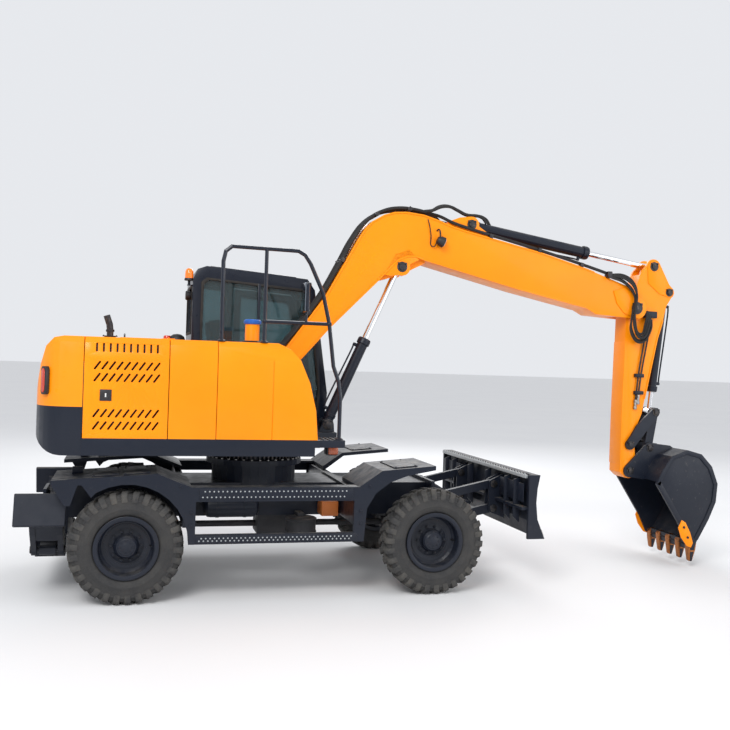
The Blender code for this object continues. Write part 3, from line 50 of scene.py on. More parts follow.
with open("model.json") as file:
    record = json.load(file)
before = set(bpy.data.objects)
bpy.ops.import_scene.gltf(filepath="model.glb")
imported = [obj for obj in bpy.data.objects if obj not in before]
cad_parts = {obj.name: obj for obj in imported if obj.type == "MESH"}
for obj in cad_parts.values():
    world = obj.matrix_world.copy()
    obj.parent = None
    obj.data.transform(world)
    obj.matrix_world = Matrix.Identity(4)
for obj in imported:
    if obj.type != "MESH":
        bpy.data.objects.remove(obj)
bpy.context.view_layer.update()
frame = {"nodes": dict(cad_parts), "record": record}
WHEEL_NODES = ("front_left", "front_right", "rear_left", "rear_right")


def centre(node):
    low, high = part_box(node)
    return (low + high) / 2


AXLE = (centre("front_right_tyre") + centre("rear_right_tyre")) / 2
TYRE_LOW, TYRE_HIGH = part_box("front_right_tyre")
TYRE_RADIUS = (TYRE_HIGH.z - TYRE_LOW.z) / 2
TYRE_HALF = (TYRE_HIGH.y - TYRE_LOW.y) / 2

# The machine's measures in metres: half widths and y from the middle plane, tops from the ground.
BOOM_HALF = 0.15
ARM_HALF = 0.1
BUCKET_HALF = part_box("bucket")[1].y
FRAME_FACE = 1.0202
STUD_GAP = 0.034
SKIRT_TOP = 1.5
HOOD_TOP = 2.03
ROOF_TOP = 2.692
RAIL_Y = -0.925
SLOT_ROWS = (1.95, 1.815, 1.725, 1.455, 1.362)
CAP_SPOT = (-0.3, -0.76)
DOME_SPOT = (-0.835, 0.42)
PLATE_LIFT = 0.003
SIDES = ((-1, "right"), (1, "left"))
UP = (0, 0, 1)
ORIGIN = (0, 0, 0)
BARE_METAL = (0.16, 0.15, 0.14)
HOSE_ROWS = (-0.115, -0.08, -0.045, 0.05, 0.085)

# Pins, as x from the middle of the wheelbase and height.
BOOM_FOOT = (-0.01, 1.7)
BOOM_BASE_PIN = (0.5, 1.33)
KNEE_PIN = (1.136, 2.788)
TOP_PIN = (1.823, 3.232)
TIP_PIN = (3.561, 2.524)
TAIL_PIN = (3.771, 2.949)
EAR_PIN = (3.95, 2.7)
ROCKER_TOP, ROCKER_FOOT = (3.829, 1.501), (3.556, 1.174)
BUCKET_PIN, LINK_PIN = (3.56, 0.916), (3.772, 1.145)

# Lights, as name, place, power and size; the sky; and the view.
LIGHT_AIM = Vector((0, 0, 1.2))
LIGHTS = (
    ("key_light", (-6.0, -9.5, 9.5), 1000.0, 5.0), ("fill_light", (8.0, -8.0, 4.0), 300.0, 7.0),
    ("back_light", (2.0, 9.0, 8.0), 500.0, 7.0),
)
SKY_COLOUR, SKY_STRENGTH = (0.94, 0.96, 1.0, 1), 0.85
EYE_POINT = (-1.258, -8.002, 1.89)
EYE_YAW, EYE_PITCH, EYE_ROLL = (math.radians(angle) for angle in (14.78, -0.08, 1.85))
SENSOR, FOCAL_LENGTH = 36.0, 44.137


def at(x, y, z):
    """A place measured from the middle of the wheelbase, on the ground."""
    return Vector((x + AXLE.x, y, z))


# Sizes and colours ------------------------------------------------------------------------------
def length_property(name, description, default):
    return FloatProperty(
        name=name, description=description, default=default, min=0.0, unit="LENGTH", subtype="DISTANCE"
    )


def colour_property(name, description, default):
    return FloatVectorProperty(
        name=name, description=description, default=default, size=3, min=0.0, max=1.0, subtype="COLOR"
    )


class ExcavatorColours(bpy.types.PropertyGroup):
    yellow: colour_property("Yellow", "Body and boom paint", (1.0, 0.275, 0.001))
    navy: colour_property("Navy", "Undercarriage and bucket paint", (0.0055, 0.009, 0.019))
    rubber: colour_property("Rubber", "Tyre rubber", (0.024, 0.024, 0.025))
    dust: colour_property("Dust", "Dry dust on decks and treads", (0.3, 0.27, 0.22))
    copper: colour_property("Tooth metal", "Bucket teeth", (0.42, 0.16, 0.055))
    glass: colour_property("Glass", "Cab glass tint", (0.19, 0.29, 0.31))
    beacon: colour_property("Beacon", "Lamp on the cab's roof", (1.0, 0.22, 0.01))
    cap: colour_property("Filler cap", "Cap of the fuel filler", (0.01, 0.1, 0.42))


class ExcavatorSizes(bpy.types.PropertyGroup):
    edge: length_property("Panel edge", "Rounding of the body panels' edges", 0.01)
    tread_depth: length_property("Tread depth", "Height of the tyre's lugs", 0.019)
    lugs: IntProperty(name="Lugs", description="Tread lugs round each shoulder", default=30, min=8)
    wheel_nuts: IntProperty(name="Wheel nuts", description="Nuts on each wheel", default=10, min=3)
    nut_circle: length_property("Nut circle", "Radius of the circle of wheel nuts", 0.1135)
    slot_width: length_property("Louvre slot width", "Width of a slot in the side door", 0.015)
    flange: length_property("Flange overhang", "How far the boom's plates stand past its sides", 0.006)
    hose: length_property("Hose radius", "Radius of the boom's hoses", 0.015)
    small_hose: length_property("Small hose radius", "Radius of the arm's hoses", 0.011)


def colours():
    return bpy.context.scene.excavator_colours


def sizes():
    return bpy.context.scene.excavator_sizes


# Materials --------------------------------------------------------------------------------------
def new_material(name):
    made = bpy.data.materials.new(name)
    made.use_nodes = True
    return made, made.node_tree, made.node_tree.nodes["Principled BSDF"]


def node(tree, kind, **values):
    made = tree.nodes.new(kind)
    for key, value in values.items():
        setattr(made, key, value)
    return made


def settings(made, **values):
    """Sets a node's inputs; an underscore in a key stands for a space in the input's name."""
    for key, value in values.items():
        made.inputs[key.replace("_", " ")].default_value = value


def noise(tree, scale, detail=4.0, rough=0.55, stretch=(1, 1, 1)):
    """Noise on the piece's own coordinates, with a stretch along its axes."""
    coordinates = node(tree, "ShaderNodeTexCoord")
    mapping = node(tree, "ShaderNodeMapping")
    settings(mapping, Scale=stretch)
    pattern = node(tree, "ShaderNodeTexNoise")
    settings(pattern, Scale=scale, Detail=detail, Roughness=rough)
    tree.links.new(coordinates.outputs["Object"], mapping.inputs["Vector"])
    tree.links.new(mapping.outputs["Vector"], pattern.inputs["Vector"])
    return pattern.outputs["Fac"]


def span(tree, source, low, high, to_low, to_high):
    """Maps one range of values onto another."""
    made = node(tree, "ShaderNodeMapRange")
    settings(made, From_Min=low, From_Max=high, To_Min=to_low, To_Max=to_high)
    tree.links.new(source, made.inputs["Value"])
    return made.outputs["Result"]


def blend_colours(tree, factor, first, second):
    """Mixes two colours, each either a socket or a plain colour."""
    made = node(tree, "ShaderNodeMix", data_type="RGBA")
    tree.links.new(factor, made.inputs["Factor"])
    for value, socket in ((first, made.inputs["A"]), (second, made.inputs["B"])):
        if isinstance(value, bpy.types.NodeSocket):
            tree.links.new(value, socket)
        else:
            socket.default_value = (*value, 1)
    return made.outputs["Result"]


def multiply(tree, first, second):
    made = node(tree, "ShaderNodeMath", operation="MULTIPLY")
    tree.links.new(first, made.inputs[0])
    if isinstance(second, bpy.types.NodeSocket):
        tree.links.new(second, made.inputs[1])
    else:
        made.inputs[1].default_value = second
    return made.outputs["Value"]


def facing_up(tree):
    """How level a surface is, from 0 on a wall to 1 on a deck."""
    geometry = node(tree, "ShaderNodeNewGeometry")
    parts = node(tree, "ShaderNodeSeparateXYZ")
    tree.links.new(geometry.outputs["Normal"], parts.inputs["Vector"])
    return span(tree, parts.outputs["Z"], 0.35, 0.95, 0.0, 1.0)


def height(tree):
    coordinates = node(tree, "ShaderNodeTexCoord")
    parts = node(tree, "ShaderNodeSeparateXYZ")
    tree.links.new(coordinates.outputs["Object"], parts.inputs["Vector"])
    return parts.outputs["Z"]


def bump(tree, shader, source, strength, distance):
    made = node(tree, "ShaderNodeBump")
    settings(made, Strength=strength, Distance=distance)
    tree.links.new(source, made.inputs["Height"])
    tree.links.new(made.outputs["Normal"], shader.inputs["Normal"])


def surface(tree, shader, base, rough, **uniform):
    """Feeds colour and roughness to the shader and sets its uniform values."""
    tree.links.new(base, shader.inputs["Base Color"])
    tree.links.new(rough, shader.inputs["Roughness"])
    settings(shader, **uniform)


def tinted(colour, factor):
    return tuple(min(1.0, channel * factor) for channel in colour)


def mottled(tree, colour, pattern, dark, light):
    """A colour that drifts a little between a darker and a lighter tone."""
    tone = span(tree, pattern, 0.3, 0.7, 0.0, 1.0)
    return blend_colours(tree, tone, tinted(colour, dark), tinted(colour, light))


def painted(name, colour, roughness=0.32, dust=0.35, coat=0.35, wear=0.0, low_dust=0.0, shine=0.5):
    """Sprayed paint: slight tone changes, orange peel, dust where it can lie, and worn spots."""
    made, tree, shader = new_material(name)
    dirt = tuple(colours().dust)
    base = mottled(tree, colour, noise(tree, 1.7, 3.0), 0.93, 1.05)
    cover = multiply(tree, facing_up(tree), span(tree, noise(tree, 9.0, 8.0, 0.68), 0.4, 0.72, 0.0, dust))
    base = blend_colours(tree, cover, base, dirt)
    if low_dust:
        reach = multiply(tree, span(tree, height(tree), 0.1, 1.1, low_dust, 0.0), noise(tree, 5.0, 9.0, 0.7))
        base = blend_colours(tree, reach, base, dirt)
    rough = span(tree, noise(tree, 14.0, 5.0), 0.3, 0.75, roughness - 0.06, roughness + 0.12)
    if wear:
        bare = span(tree, noise(tree, 26.0, 10.0, 0.74), 0.6, 0.66, 0.0, wear)
        base = blend_colours(tree, bare, base, BARE_METAL)
    surface(tree, shader, base, rough, Specular_IOR_Level=shine, Coat_Weight=coat, Coat_Roughness=0.12)
    bump(tree, shader, noise(tree, 240.0, 2.0), 0.06, 0.002)
    return made


def two_tone(name, upper, lower, level):
    """The rear mass: body paint above a level and dark paint below it."""
    made, tree, shader = new_material(name)
    top = mottled(tree, upper, noise(tree, 1.7, 3.0), 0.93, 1.05)
    above = span(tree, height(tree), level - 0.0015, level + 0.0015, 0.0, 1.0)
    rough = span(tree, noise(tree, 14.0, 5.0), 0.3, 0.75, 0.27, 0.45)
    surface(tree, shader, blend_colours(tree, above, lower, top), rough,
            Specular_IOR_Level=0.28, Coat_Weight=0.12, Coat_Roughness=0.12)
    bump(tree, shader, noise(tree, 70.0, 4.0), 0.1, 0.003)
    return made


def metal(name, colour, roughness, stretch=(1, 1, 1), scale=60.0, spots=None):
    made, tree, shader = new_material(name)
    grain = noise(tree, scale, 6.0, 0.6, stretch)
    base = mottled(tree, colour, grain, 0.85, 1.1)
    if spots:
        patch = span(tree, noise(tree, 34.0, 9.0, 0.7), 0.5, 0.62, 0.0, 0.85)
        base = blend_colours(tree, patch, base, spots)
    surface(tree, shader, base, span(tree, grain, 0.3, 0.7, roughness * 0.8, roughness * 1.35), Metallic=1.0)
    bump(tree, shader, grain, 0.05, 0.001)
    return made


def rubber(name, colour, dust, amount):
    made, tree, shader = new_material(name)
    patch = span(tree, noise(tree, 7.0, 9.0, 0.7), 0.38, 0.75, 0.0, amount)
    fine = span(tree, noise(tree, 90.0, 4.0), 0.3, 0.7, 0.6, 1.0)
    base = blend_colours(tree, multiply(tree, patch, fine), colour, dust)
    surface(tree, shader, base, span(tree, fine, 0.6, 1.0, 0.72, 0.92))
    bump(tree, shader, noise(tree, 130.0, 5.0), 0.18, 0.002)
    return made


def plastic(name, colour, roughness=0.5, grain=220.0):
    made, tree, shader = new_material(name)
    base = mottled(tree, colour, noise(tree, 6.0, 5.0), 0.88, 1.12)
    surface(tree, shader, base, span(tree, noise(tree, 30.0), 0.3, 0.7, roughness - 0.07, roughness + 0.08))
    bump(tree, shader, noise(tree, grain, 2.0), 0.12, 0.001)
    return made


def glazing(name, colour):
    made, tree, shader = new_material(name)
    smear = noise(tree, 4.0, 6.0, 0.6)
    base = blend_colours(tree, smear, tinted(colour, 0.75), tinted(colour, 1.3))
    surface(tree, shader, base, span(tree, smear, 0.4, 0.75, 0.02, 0.09), Transmission_Weight=0.9, IOR=1.45)
    return made


def floor_finish(name):
    made, tree, shader = new_material(name)
    cloud = span(tree, noise(tree, 0.4, 2.0), 0.3, 0.7, 0.0, 1.0)
    base = blend_colours(tree, cloud, (0.77, 0.77, 0.775), (0.79, 0.79, 0.79))
    tree.links.new(base, shader.inputs["Base Color"])
    settings(shader, Roughness=0.85, Specular_IOR_Level=0.2)
    return made


def lens(name, colour, glow=0.0):
    made, tree, shader = new_material(name)
    ribs = noise(tree, 40.0, 2.0, 0.4, (1, 1, 6))
    base = blend_colours(tree, ribs, tinted(colour, 0.8), tinted(colour, 1.2))
    surface(tree, shader, base, span(tree, ribs, 0.3, 0.7, 0.1, 0.24), Transmission_Weight=0.25,
            Coat_Weight=0.6,
            Emission_Color=(*colour, 1), Emission_Strength=glow)
    bump(tree, shader, ribs, 0.2, 0.002)
    return made


def finish(name):
    """The material of that name, made the first time it is asked for."""
    if name in bpy.data.materials:
        return bpy.data.materials[name]
    tint = colours()
    yellow, navy, dust = tuple(tint.yellow), tuple(tint.navy), tuple(tint.dust)
    tyre = tuple(tint.rubber)
    makers = {
        "yellow paint": lambda n: painted(n, yellow, 0.34, dust=0.04, coat=0.1, shine=0.18),
        "boom paint": lambda n: painted(n, yellow, 0.34, dust=0.05, coat=0.1, wear=0.04, shine=0.18),
        "navy paint": lambda n: painted(n, navy, 0.38, 0.22, 0.06, low_dust=0.05, shine=0.28),
        "deck paint": lambda n: painted(n, navy, 0.45, 0.42, 0.03, 0.08, 0.07, 0.25),
        "bucket paint": lambda n: painted(n, navy, 0.4, 0.24, 0.05, 0.25, 0.05, 0.28),
        "cab paint": lambda n: painted(n, navy, 0.3, dust=0.16, coat=0.12, shine=0.3),
        "weight paint": lambda n: two_tone(n, yellow, navy, SKIRT_TOP),
        "chrome rod": lambda n: metal(n, (0.82, 0.83, 0.85), 0.11, (1, 1, 30), 20.0),
        "bare steel": lambda n: metal(n, (0.36, 0.35, 0.34), 0.38),
        "dark steel": lambda n: metal(n, (0.055, 0.055, 0.06), 0.46, spots=(0.12, 0.1, 0.085)),
        "cast iron": lambda n: painted(n, (0.028, 0.028, 0.032), 0.62, dust=0.4, coat=0.0),
        "tooth metal": lambda n: metal(n, tuple(tint.copper), 0.42, spots=(0.2, 0.1, 0.05)),
        # Light grey for the fascia dots and the blade's top strip: a painted highlight on navy parts, with
        # dust and worn spots on it.
        "light edge": lambda n: painted(n, (0.33, 0.35, 0.36), 0.42, dust=0.3, coat=0.1, wear=0.2),
        "tyre rubber": lambda n: rubber(n, tyre, dust, 0.1),
        # The tread is the tyre rubber made lighter and dustier: partly dust, partly a painted highlight on
        # the lugs.
        "tread rubber": lambda n: rubber(n, tinted(tyre, 1.15), dust, 0.3),
        "hose rubber": lambda n: rubber(n, (0.012, 0.012, 0.013), dust, 0.05),
        "seal rubber": lambda n: rubber(n, (0.01, 0.01, 0.01), dust, 0.1),
        "black plastic": lambda n: plastic(n, (0.014, 0.014, 0.016)),
        "cab glass": lambda n: glazing(n, tuple(tint.glass)),
        "beacon lens": lambda n: lens(n, tuple(tint.beacon), 0.25),
        "red lens": lambda n: lens(n, (0.62, 0.045, 0.02), 0.08),
        "amber lens": lambda n: lens(n, (0.5, 0.085, 0.012), 0.05),
        "lamp glass": lambda n: lens(n, (0.75, 0.78, 0.8)),
        "blue cap": lambda n: plastic(n, tuple(tint.cap), 0.38),
        "white label": lambda n: plastic(n, (0.72, 0.72, 0.7), 0.45),
        "orange part": lambda n: painted(n, (0.52, 0.15, 0.03), 0.5, dust=0.4, coat=0.0, wear=0.2),
        "mirror glass": lambda n: metal(n, (0.16, 0.18, 0.21), 0.06, scale=3.0),
        "seat cloth": lambda n: plastic(n, (0.022, 0.022, 0.025), 0.85, 600.0),
        "floor": floor_finish,
    }
    return makers[name](name)


# Modelling --------------------------------------------------------------------------------------
def deselect():
    if bpy.context.object and bpy.context.object.mode != "OBJECT":
        bpy.ops.object.mode_set(mode="OBJECT")
    for obj in list(bpy.context.selected_objects):
        obj.select_set(False)


def pick(obj):
    deselect()
    obj.select_set(True)
    bpy.context.view_layer.objects.active = obj
    return obj


def added(name):
    """Names the primitive that was just added, with its place put into its mesh."""
    obj = bpy.context.object
    obj.name = name
    obj.data.name = name
    bpy.ops.object.transform_apply(location=True, rotation=True, scale=True)
    return obj


def edit(*steps):
    """Runs mesh operators, each with its values, on the whole of the active piece."""
    bpy.ops.object.mode_set(mode="EDIT")
    for operator, values in steps:
        bpy.ops.mesh.select_all(action="SELECT")
        operator(**values)
    bpy.ops.object.mode_set(mode="OBJECT")


def merged(threshold=1e-5):
    return bpy.ops.mesh.remove_doubles, {"threshold": threshold}


def outward():
    return bpy.ops.mesh.normals_make_consistent, {"inside": False}


def discard(*pieces):
    for piece in pieces:
        bpy.data.objects.remove(piece)


def modify(obj, kind, **values):
    pick(obj)
    step = obj.modifiers.new(kind.lower(), kind)
    for key, value in values.items():
        setattr(step, key, value)
    bpy.ops.object.modifier_apply(modifier=step.name)
    return obj


def cut(obj, cutter):
    """Takes a cutter's shape out of a piece and does away with the cutter."""
    modify(obj, "BOOLEAN", operation="DIFFERENCE", object=cutter, solver="EXACT")
    discard(cutter)


def rounded(obj, width, segments=2, angle=32.0):
    if width <= 0:
        return obj
    return modify(
        obj, "BEVEL", width=width, segments=segments, limit_method="ANGLE",
        angle_limit=math.radians(angle), use_clamp_overlap=True,
    )


def block(name, low, high, edge=0.003, segments=2):
    deselect()
    low, high = Vector(low), Vector(high)
    bpy.ops.mesh.primitive_cube_add(size=1.0, location=(low + high) / 2)
    bpy.context.object.scale = high - low
    return rounded(added(name), edge, segments)


def post(name, start, end, radius, sides=24, edge=0.0015):
    """A round bar between two points, with its rims eased."""
    deselect()
    start, end = Vector(start), Vector(end)
    way = end - start
    bpy.ops.mesh.primitive_cone_add(
        vertices=sides, radius1=radius, radius2=radius,
        depth=way.length, location=(start + end) / 2, rotation=way.to_track_quat("Z", "Y").to_euler(),
    )
    return rounded(added(name), edge, 2, 50.0)


def ball(name, place, radius, squash=(1, 1, 1)):
    deselect()
    bpy.ops.mesh.primitive_uv_sphere_add(segments=20, ring_count=12, radius=radius, location=place)
    bpy.context.object.scale = squash
    return added(name)


def prism(name, outline, low, high, edge=0.002, plane="xz"):
    """A flat outline given thickness: a filled circle whose corners are drawn out to the outline."""
    deselect()
    bpy.ops.mesh.primitive_circle_add(vertices=len(outline), radius=1.0, fill_type="NGON")
    obj = added(name)
    spots = {
        "xz": lambda u, v: (u, low, v),
        "yz": lambda u, v: (low, u, v),
        "xy": lambda u, v: (u, v, low),
    }[plane]
    step = {"xz": (0, high - low, 0), "yz": (high - low, 0, 0), "xy": (0, 0, high - low)}[plane]
    for vertex, (u, v) in zip(obj.data.vertices, outline):
        vertex.co = spots(u, v)
    edit((bpy.ops.mesh.extrude_region_move, {"TRANSFORM_OT_translate": {"value": step}}), outward())
    return rounded(obj, edge)


def swept_sections(name, sections):
    """A bar drawn through sections of equal corner count: each new one is extruded from the last."""
    deselect()
    bpy.ops.mesh.primitive_circle_add(vertices=len(sections[0]), radius=1.0, fill_type="NGON")
    obj = added(name)
    for vertex, place in zip(obj.data.vertices, sections[0]):
        vertex.co = place
    for before, section in zip(sections, sections[1:]):
        bpy.ops.object.mode_set(mode="EDIT")
        bpy.ops.mesh.extrude_region_move(TRANSFORM_OT_translate={"value": ORIGIN})
        bpy.ops.object.mode_set(mode="OBJECT")
        for vertex in obj.data.vertices:
            if vertex.select:
                nearest = min(range(len(before)), key=lambda i: (Vector(before[i]) - vertex.co).length)
                vertex.co = section[nearest]
    edit(outward())
    return obj


def sided(side, near, far):
    """Two distances from the middle plane, on one side of it, in rising order."""
    return sorted((side * near, side * far))


def bow(middle, radius, angles):
    """Points of an arc round a middle, at angles in degrees."""
    return [(middle[0] + radius * math.cos(math.radians(a)), middle[1] + radius * math.sin(math.radians(a)))
            for a in angles]


def side_prism(name, outline, low, high, edge=0.002):
    """A plate whose outline is given from the middle of the wheelbase, in x and z."""
    return prism(name, [(x + AXLE.x, z) for x, z in outline], low, high, edge)


def lathe(name, profile, place, axis, sides=48, edge=0.0):
    """A profile of (radius, distance along the axis) spun round the axis."""
    deselect()
    bpy.ops.mesh.primitive_circle_add(vertices=max(3, len(profile)), radius=1.0)
    obj = added(name)
    for vertex, (radius, along) in zip(obj.data.vertices, profile):
        vertex.co = (radius, 0, along)
    edit((bpy.ops.mesh.spin, {"steps": sides, "angle": math.tau, "center": ORIGIN, "axis": UP}), merged(),
         outward())
    rounded(obj, edge)
    turn = Vector(axis).to_track_quat("Z", "Y").to_matrix().to_4x4()
    obj.data.transform(Matrix.Translation(place) @ turn)
    return obj


def tube(name, points, radius, smooth=True, sides=12):
    """A hose, rail or wire along points."""
    deselect()
    bpy.ops.curve.primitive_bezier_curve_add(location=ORIGIN)
    curve = bpy.context.object
    curve.name = name
    line = curve.data.splines[0]
    line.bezier_points.add(len(points) - len(line.bezier_points))
    for point, place in zip(line.bezier_points, points):
        point.co = place
        point.handle_left_type = point.handle_right_type = "AUTO" if smooth else "VECTOR"
    curve.data.resolution_u = 10 if smooth else 1
    curve.data.bevel_depth = radius
    curve.data.bevel_resolution = max(1, sides // 4 - 1)
    curve.data.use_fill_caps = True
    bpy.ops.object.convert(target="MESH")
    obj = added(name)
    edit(merged(), outward())
    return obj


def joined(name, parts):
    deselect()
    for part in parts:
        part.select_set(True)
    bpy.context.view_layer.objects.active = parts[0]
    if len(parts) > 1:
        bpy.ops.object.join()
    obj = bpy.context.object
    obj.name = name
    obj.data.name = name
    return obj


def copied(obj, name, matrix):
    """A copy with its own mesh, moved by a matrix; a mirrored one is turned the right way out."""
    made = bpy.data.objects.new(name, obj.data.copy())
    bpy.context.scene.collection.objects.link(made)
    made.data.transform(matrix)
    if matrix.determinant() < 0:
        made.data.flip_normals()
    return made


def ring_of(obj, count, place, axis):
    """Copies of a piece round an axis, with the piece itself as the first."""
    made = [obj]
    for number in range(1, count):
        turn = Matrix.Rotation(math.tau * number / count, 4, Vector(axis))
        matrix = Matrix.Translation(place) @ turn @ Matrix.Translation(-Vector(place))
        made.append(copied(obj, f"{obj.name}_{number}", matrix))
    return made


def placed(obj, place, angle, axis="Y"):
    """Turns a piece about an axis through the origin and sets it down at a place."""
    obj.data.transform(Matrix.Translation(place) @ Matrix.Rotation(angle, 4, axis))
    return obj


def done(obj, body, look, angle=35.0):
    """Gives a finished piece its look, its shading and the body it rides on."""
    pick(obj)
    bpy.ops.object.shade_smooth_by_angle(angle=math.radians(angle))
    obj.data.materials.clear()
    obj.data.materials.append(finish(look))
    if body:
        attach(obj, body)
    return obj


def softened(source, body, look, edge, cutters=()):
    """Stands for a CAD node: the same shape with its edges eased."""
    obj = bpy.data.objects.new(source + "_skin", frame["nodes"][source].data.copy())
    bpy.context.scene.collection.objects.link(obj)
    pick(obj)
    edit(merged(2e-5), (bpy.ops.mesh.dissolve_limited, {"angle_limit": math.radians(0.6)}))
    for cutter in cutters:
        cut(obj, cutter)
    rounded(obj, edge, 3, 25.0)
    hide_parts(source)
    return done(obj, body, look)


def hexagon(name, place, axis, size, depth):
    """A hexagonal nut or bolt head standing on a face."""
    place, axis = Vector(place), Vector(axis).normalized()
    return post(name, place, place + axis * depth, size, 6, size * 0.12)


def pin_end(name, place, side, radius, proud=0.02):
    """A pin's end: its boss, the pin itself and a keeper plate with two bolts."""
    place = Vector(place)
    out = Vector((0, side, 0))
    parts = [
        post(name + "_boss", place, place + out * proud, radius * 1.35, 28, 0.003),
        post(name + "_pin", place, place + out * (proud + 0.012), radius * 0.85, 24, 0.002),
    ]
    low = place + Vector((-radius * 1.2, side * (proud - 0.004), radius * 0.55))
    high = place + Vector((radius * 1.2, side * (proud + 0.008), radius * 1.1))
    corners = [tuple(min(a, b) for a, b in zip(low, high)), tuple(max(a, b) for a, b in zip(low, high))]
    parts.append(block(name + "_keeper", *corners, 0.002))
    for shift in (-0.8, 0.8):
        spot = place + Vector((radius * shift, side * (proud + 0.008), radius * 0.82))
        parts.append(hexagon(name + "_bolt", spot, out, 0.009, 0.007))
    return joined(name, parts)


def pin_pair(name, pin, y, radius, proud):
    """Both ends of a pin that lies across the machine."""
    return [pin_end(name, at(pin[0], side * y, pin[1]), side, radius, proud) for side in (-1, 1)]


def courses(chain):
    """Each point of a chain in x and z, with the chain's direction there."""
    for index, point in enumerate(chain):
        before = Vector(chain[max(index - 1, 0)])
        after = Vector(chain[min(index + 1, len(chain) - 1)])
        yield point, (after - before).normalized()


def strip_along(name, chain, depth, half, inward):
    """A plate that follows a chain of points in x and z, standing a little proud of it."""
    proud, offset = [], []
    for point, way in courses(chain):
        normal = Vector((-way.y, way.x)) * inward
        proud.append(tuple(Vector(point) - normal * PLATE_LIFT))
        offset.append(tuple(Vector(point) + normal * depth))
    return side_prism(name, proud + offset[::-1], -half, half, 0.002)


# Operators --------------------------------------------------------------------------------------
class EXCAVATOR_OT_finishes(bpy.types.Operator):
    """Give the frame's own pieces their paint, metal, rubber and glass"""

    bl_idname = "excavator.finishes"
    bl_label = "Finishes"
    bl_options = {"REGISTER", "UNDO"}

    def execute(self, context):
        looks = {
            "chassis_frame": "navy paint", "left_side_frame": "deck paint", "right_side_frame": "deck paint",
            "front_axle": "cast iron", "rear_axle": "cast iron", "transmission": "cast iron",
            "left_knuckle": "cast iron", "right_knuckle": "cast iron", "engine": "cast iron",
            "exhaust_pipe": "dark steel", "hand_rail": "cab paint", "platform": "navy paint",
            "cab_shell": "cab paint", "cab_door": "cab paint", "dozer_blade": "deck paint",
            "bucket": "bucket paint", "boom": "boom paint", "arm": "boom paint", "seat": "seat cloth",
            "left_stabilizer": "deck paint", "right_stabilizer": "deck paint",
        }
        by_slot = {
            "yellow": "yellow paint", "navy": "navy paint", "tyre": "tyre rubber",
            "chrome": "chrome rod", "glass": "cab glass", "iron": "cast iron", "seat": "seat cloth",
        }
        slots = {entry["node"]: entry["material_slot"] for entry in frame["record"]["subparts"]}
        for name, obj in frame["nodes"].items():
            look = looks.get(name, by_slot[slots[name]])
            obj.data.materials.clear()
            obj.data.materials.append(finish(look))
            obj.data.shade_smooth()
            pick(obj)
            bpy.ops.object.shade_smooth_by_angle(angle=math.radians(35))
        deselect()
        return {"FINISHED"}


class EXCAVATOR_OT_tyres(bpy.types.Operator):
    """Lugged tyres in place of the plain rings"""

    bl_idname = "excavator.tyres"
    bl_label = "Tyres"
    bl_options = {"REGISTER", "UNDO"}

    def execute(self, context):
        radius, half, depth = TYRE_RADIUS, TYRE_HALF, sizes().tread_depth
        bead = radius - 0.21
        side = [
            (bead, half - 0.038), (bead + 0.018, half - 0.036), (bead + 0.026, half - 0.024),
            (bead + 0.04, half - 0.012), (bead + 0.06, half - 0.004), (bead + 0.072, half),
            (bead + 0.076, half + 0.0015), (bead + 0.082, half + 0.0015), (bead + 0.086, half),
            (bead + 0.11, half + 0.001), (radius - 0.07, half - 0.001), (radius - 0.066, half + 0.002),
            (radius - 0.058, half + 0.002), (radius - 0.054, half - 0.005), (radius - 0.036, half - 0.011),
            (radius - depth - 0.004, half - 0.024), (radius - depth, half - 0.046),
        ]
        profile = side + [(r, -y) for r, y in reversed(side)]
        carcass = lathe("tread_body", profile, ORIGIN, UP, 72)
        count = sizes().lugs
        pitch = math.tau / count
        shoulders = [lug for way in (1, -1)
                     for lug in self.shoulder_lugs(radius, half, depth, pitch, count, way)]
        tread = joined("tread", shoulders + self.centre_blocks(radius, depth, pitch, count))
        turn = Matrix.Rotation(-math.pi / 2, 4, "X")
        for name in WHEEL_NODES:
            matrix = Matrix.Translation(centre(name + "_tyre")) @ turn
            for source, word, look in ((carcass, "_tyre_wall", "tyre rubber"),
                                       (tread, "_tread", "tread rubber")):
                made = copied(source, name + word, matrix)
                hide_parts(name + "_tyre")
                done(made, name + "_wheel", look, 30)
        discard(carcass, tread)
        return {"FINISHED"}

    def shoulder_lugs(self, radius, half, depth, pitch, count, way):
        """Slanted bars that run from near the middle over the shoulder and down the side."""
        angle = pitch * 0.3
        rows = (
            (0.022, radius - depth * 0.9, radius, 0.16), (0.058, radius - depth * 1.1, radius - 0.0005, -0.1),
            (half - 0.03, radius - depth * 1.3, radius - 0.002, -0.25),
            (half - 0.006, radius - 0.055, radius - 0.014, -0.28),
            (half + 0.005, radius - 0.082, radius - 0.03, -0.28),
        )
        sections = []
        for along, low, high, lean in rows:
            section = []
            for r, side_angle in ((low, -angle), (high, -angle * 0.84), (high, angle * 0.84), (low, angle)):
                turned = side_angle + lean * pitch
                section.append((r * math.cos(turned), r * math.sin(turned), way * along))
            sections.append(section)
        lug = rounded(swept_sections("lug", sections), 0.002, 1)
        offset = 0.0 if way > 0 else pitch / 2
        lug.data.transform(Matrix.Rotation(offset, 4, "Z"))
        return ring_of(lug, count, ORIGIN, UP)

    def centre_blocks(self, radius, depth, pitch, count):
        """Small slanted blocks along the middle of the tread."""
        length = radius * pitch * 0.62
        low = (radius - depth * 1.1, -length / 2, -0.017)
        knob = block("knob", low, (radius - 0.0005, length / 2, 0.017), 0.002, 1)
        knob.data.transform(Matrix.Rotation(pitch * 0.25, 4, "Z") @ Matrix.Rotation(0.5, 4, "X"))
        return ring_of(knob, count, ORIGIN, UP)


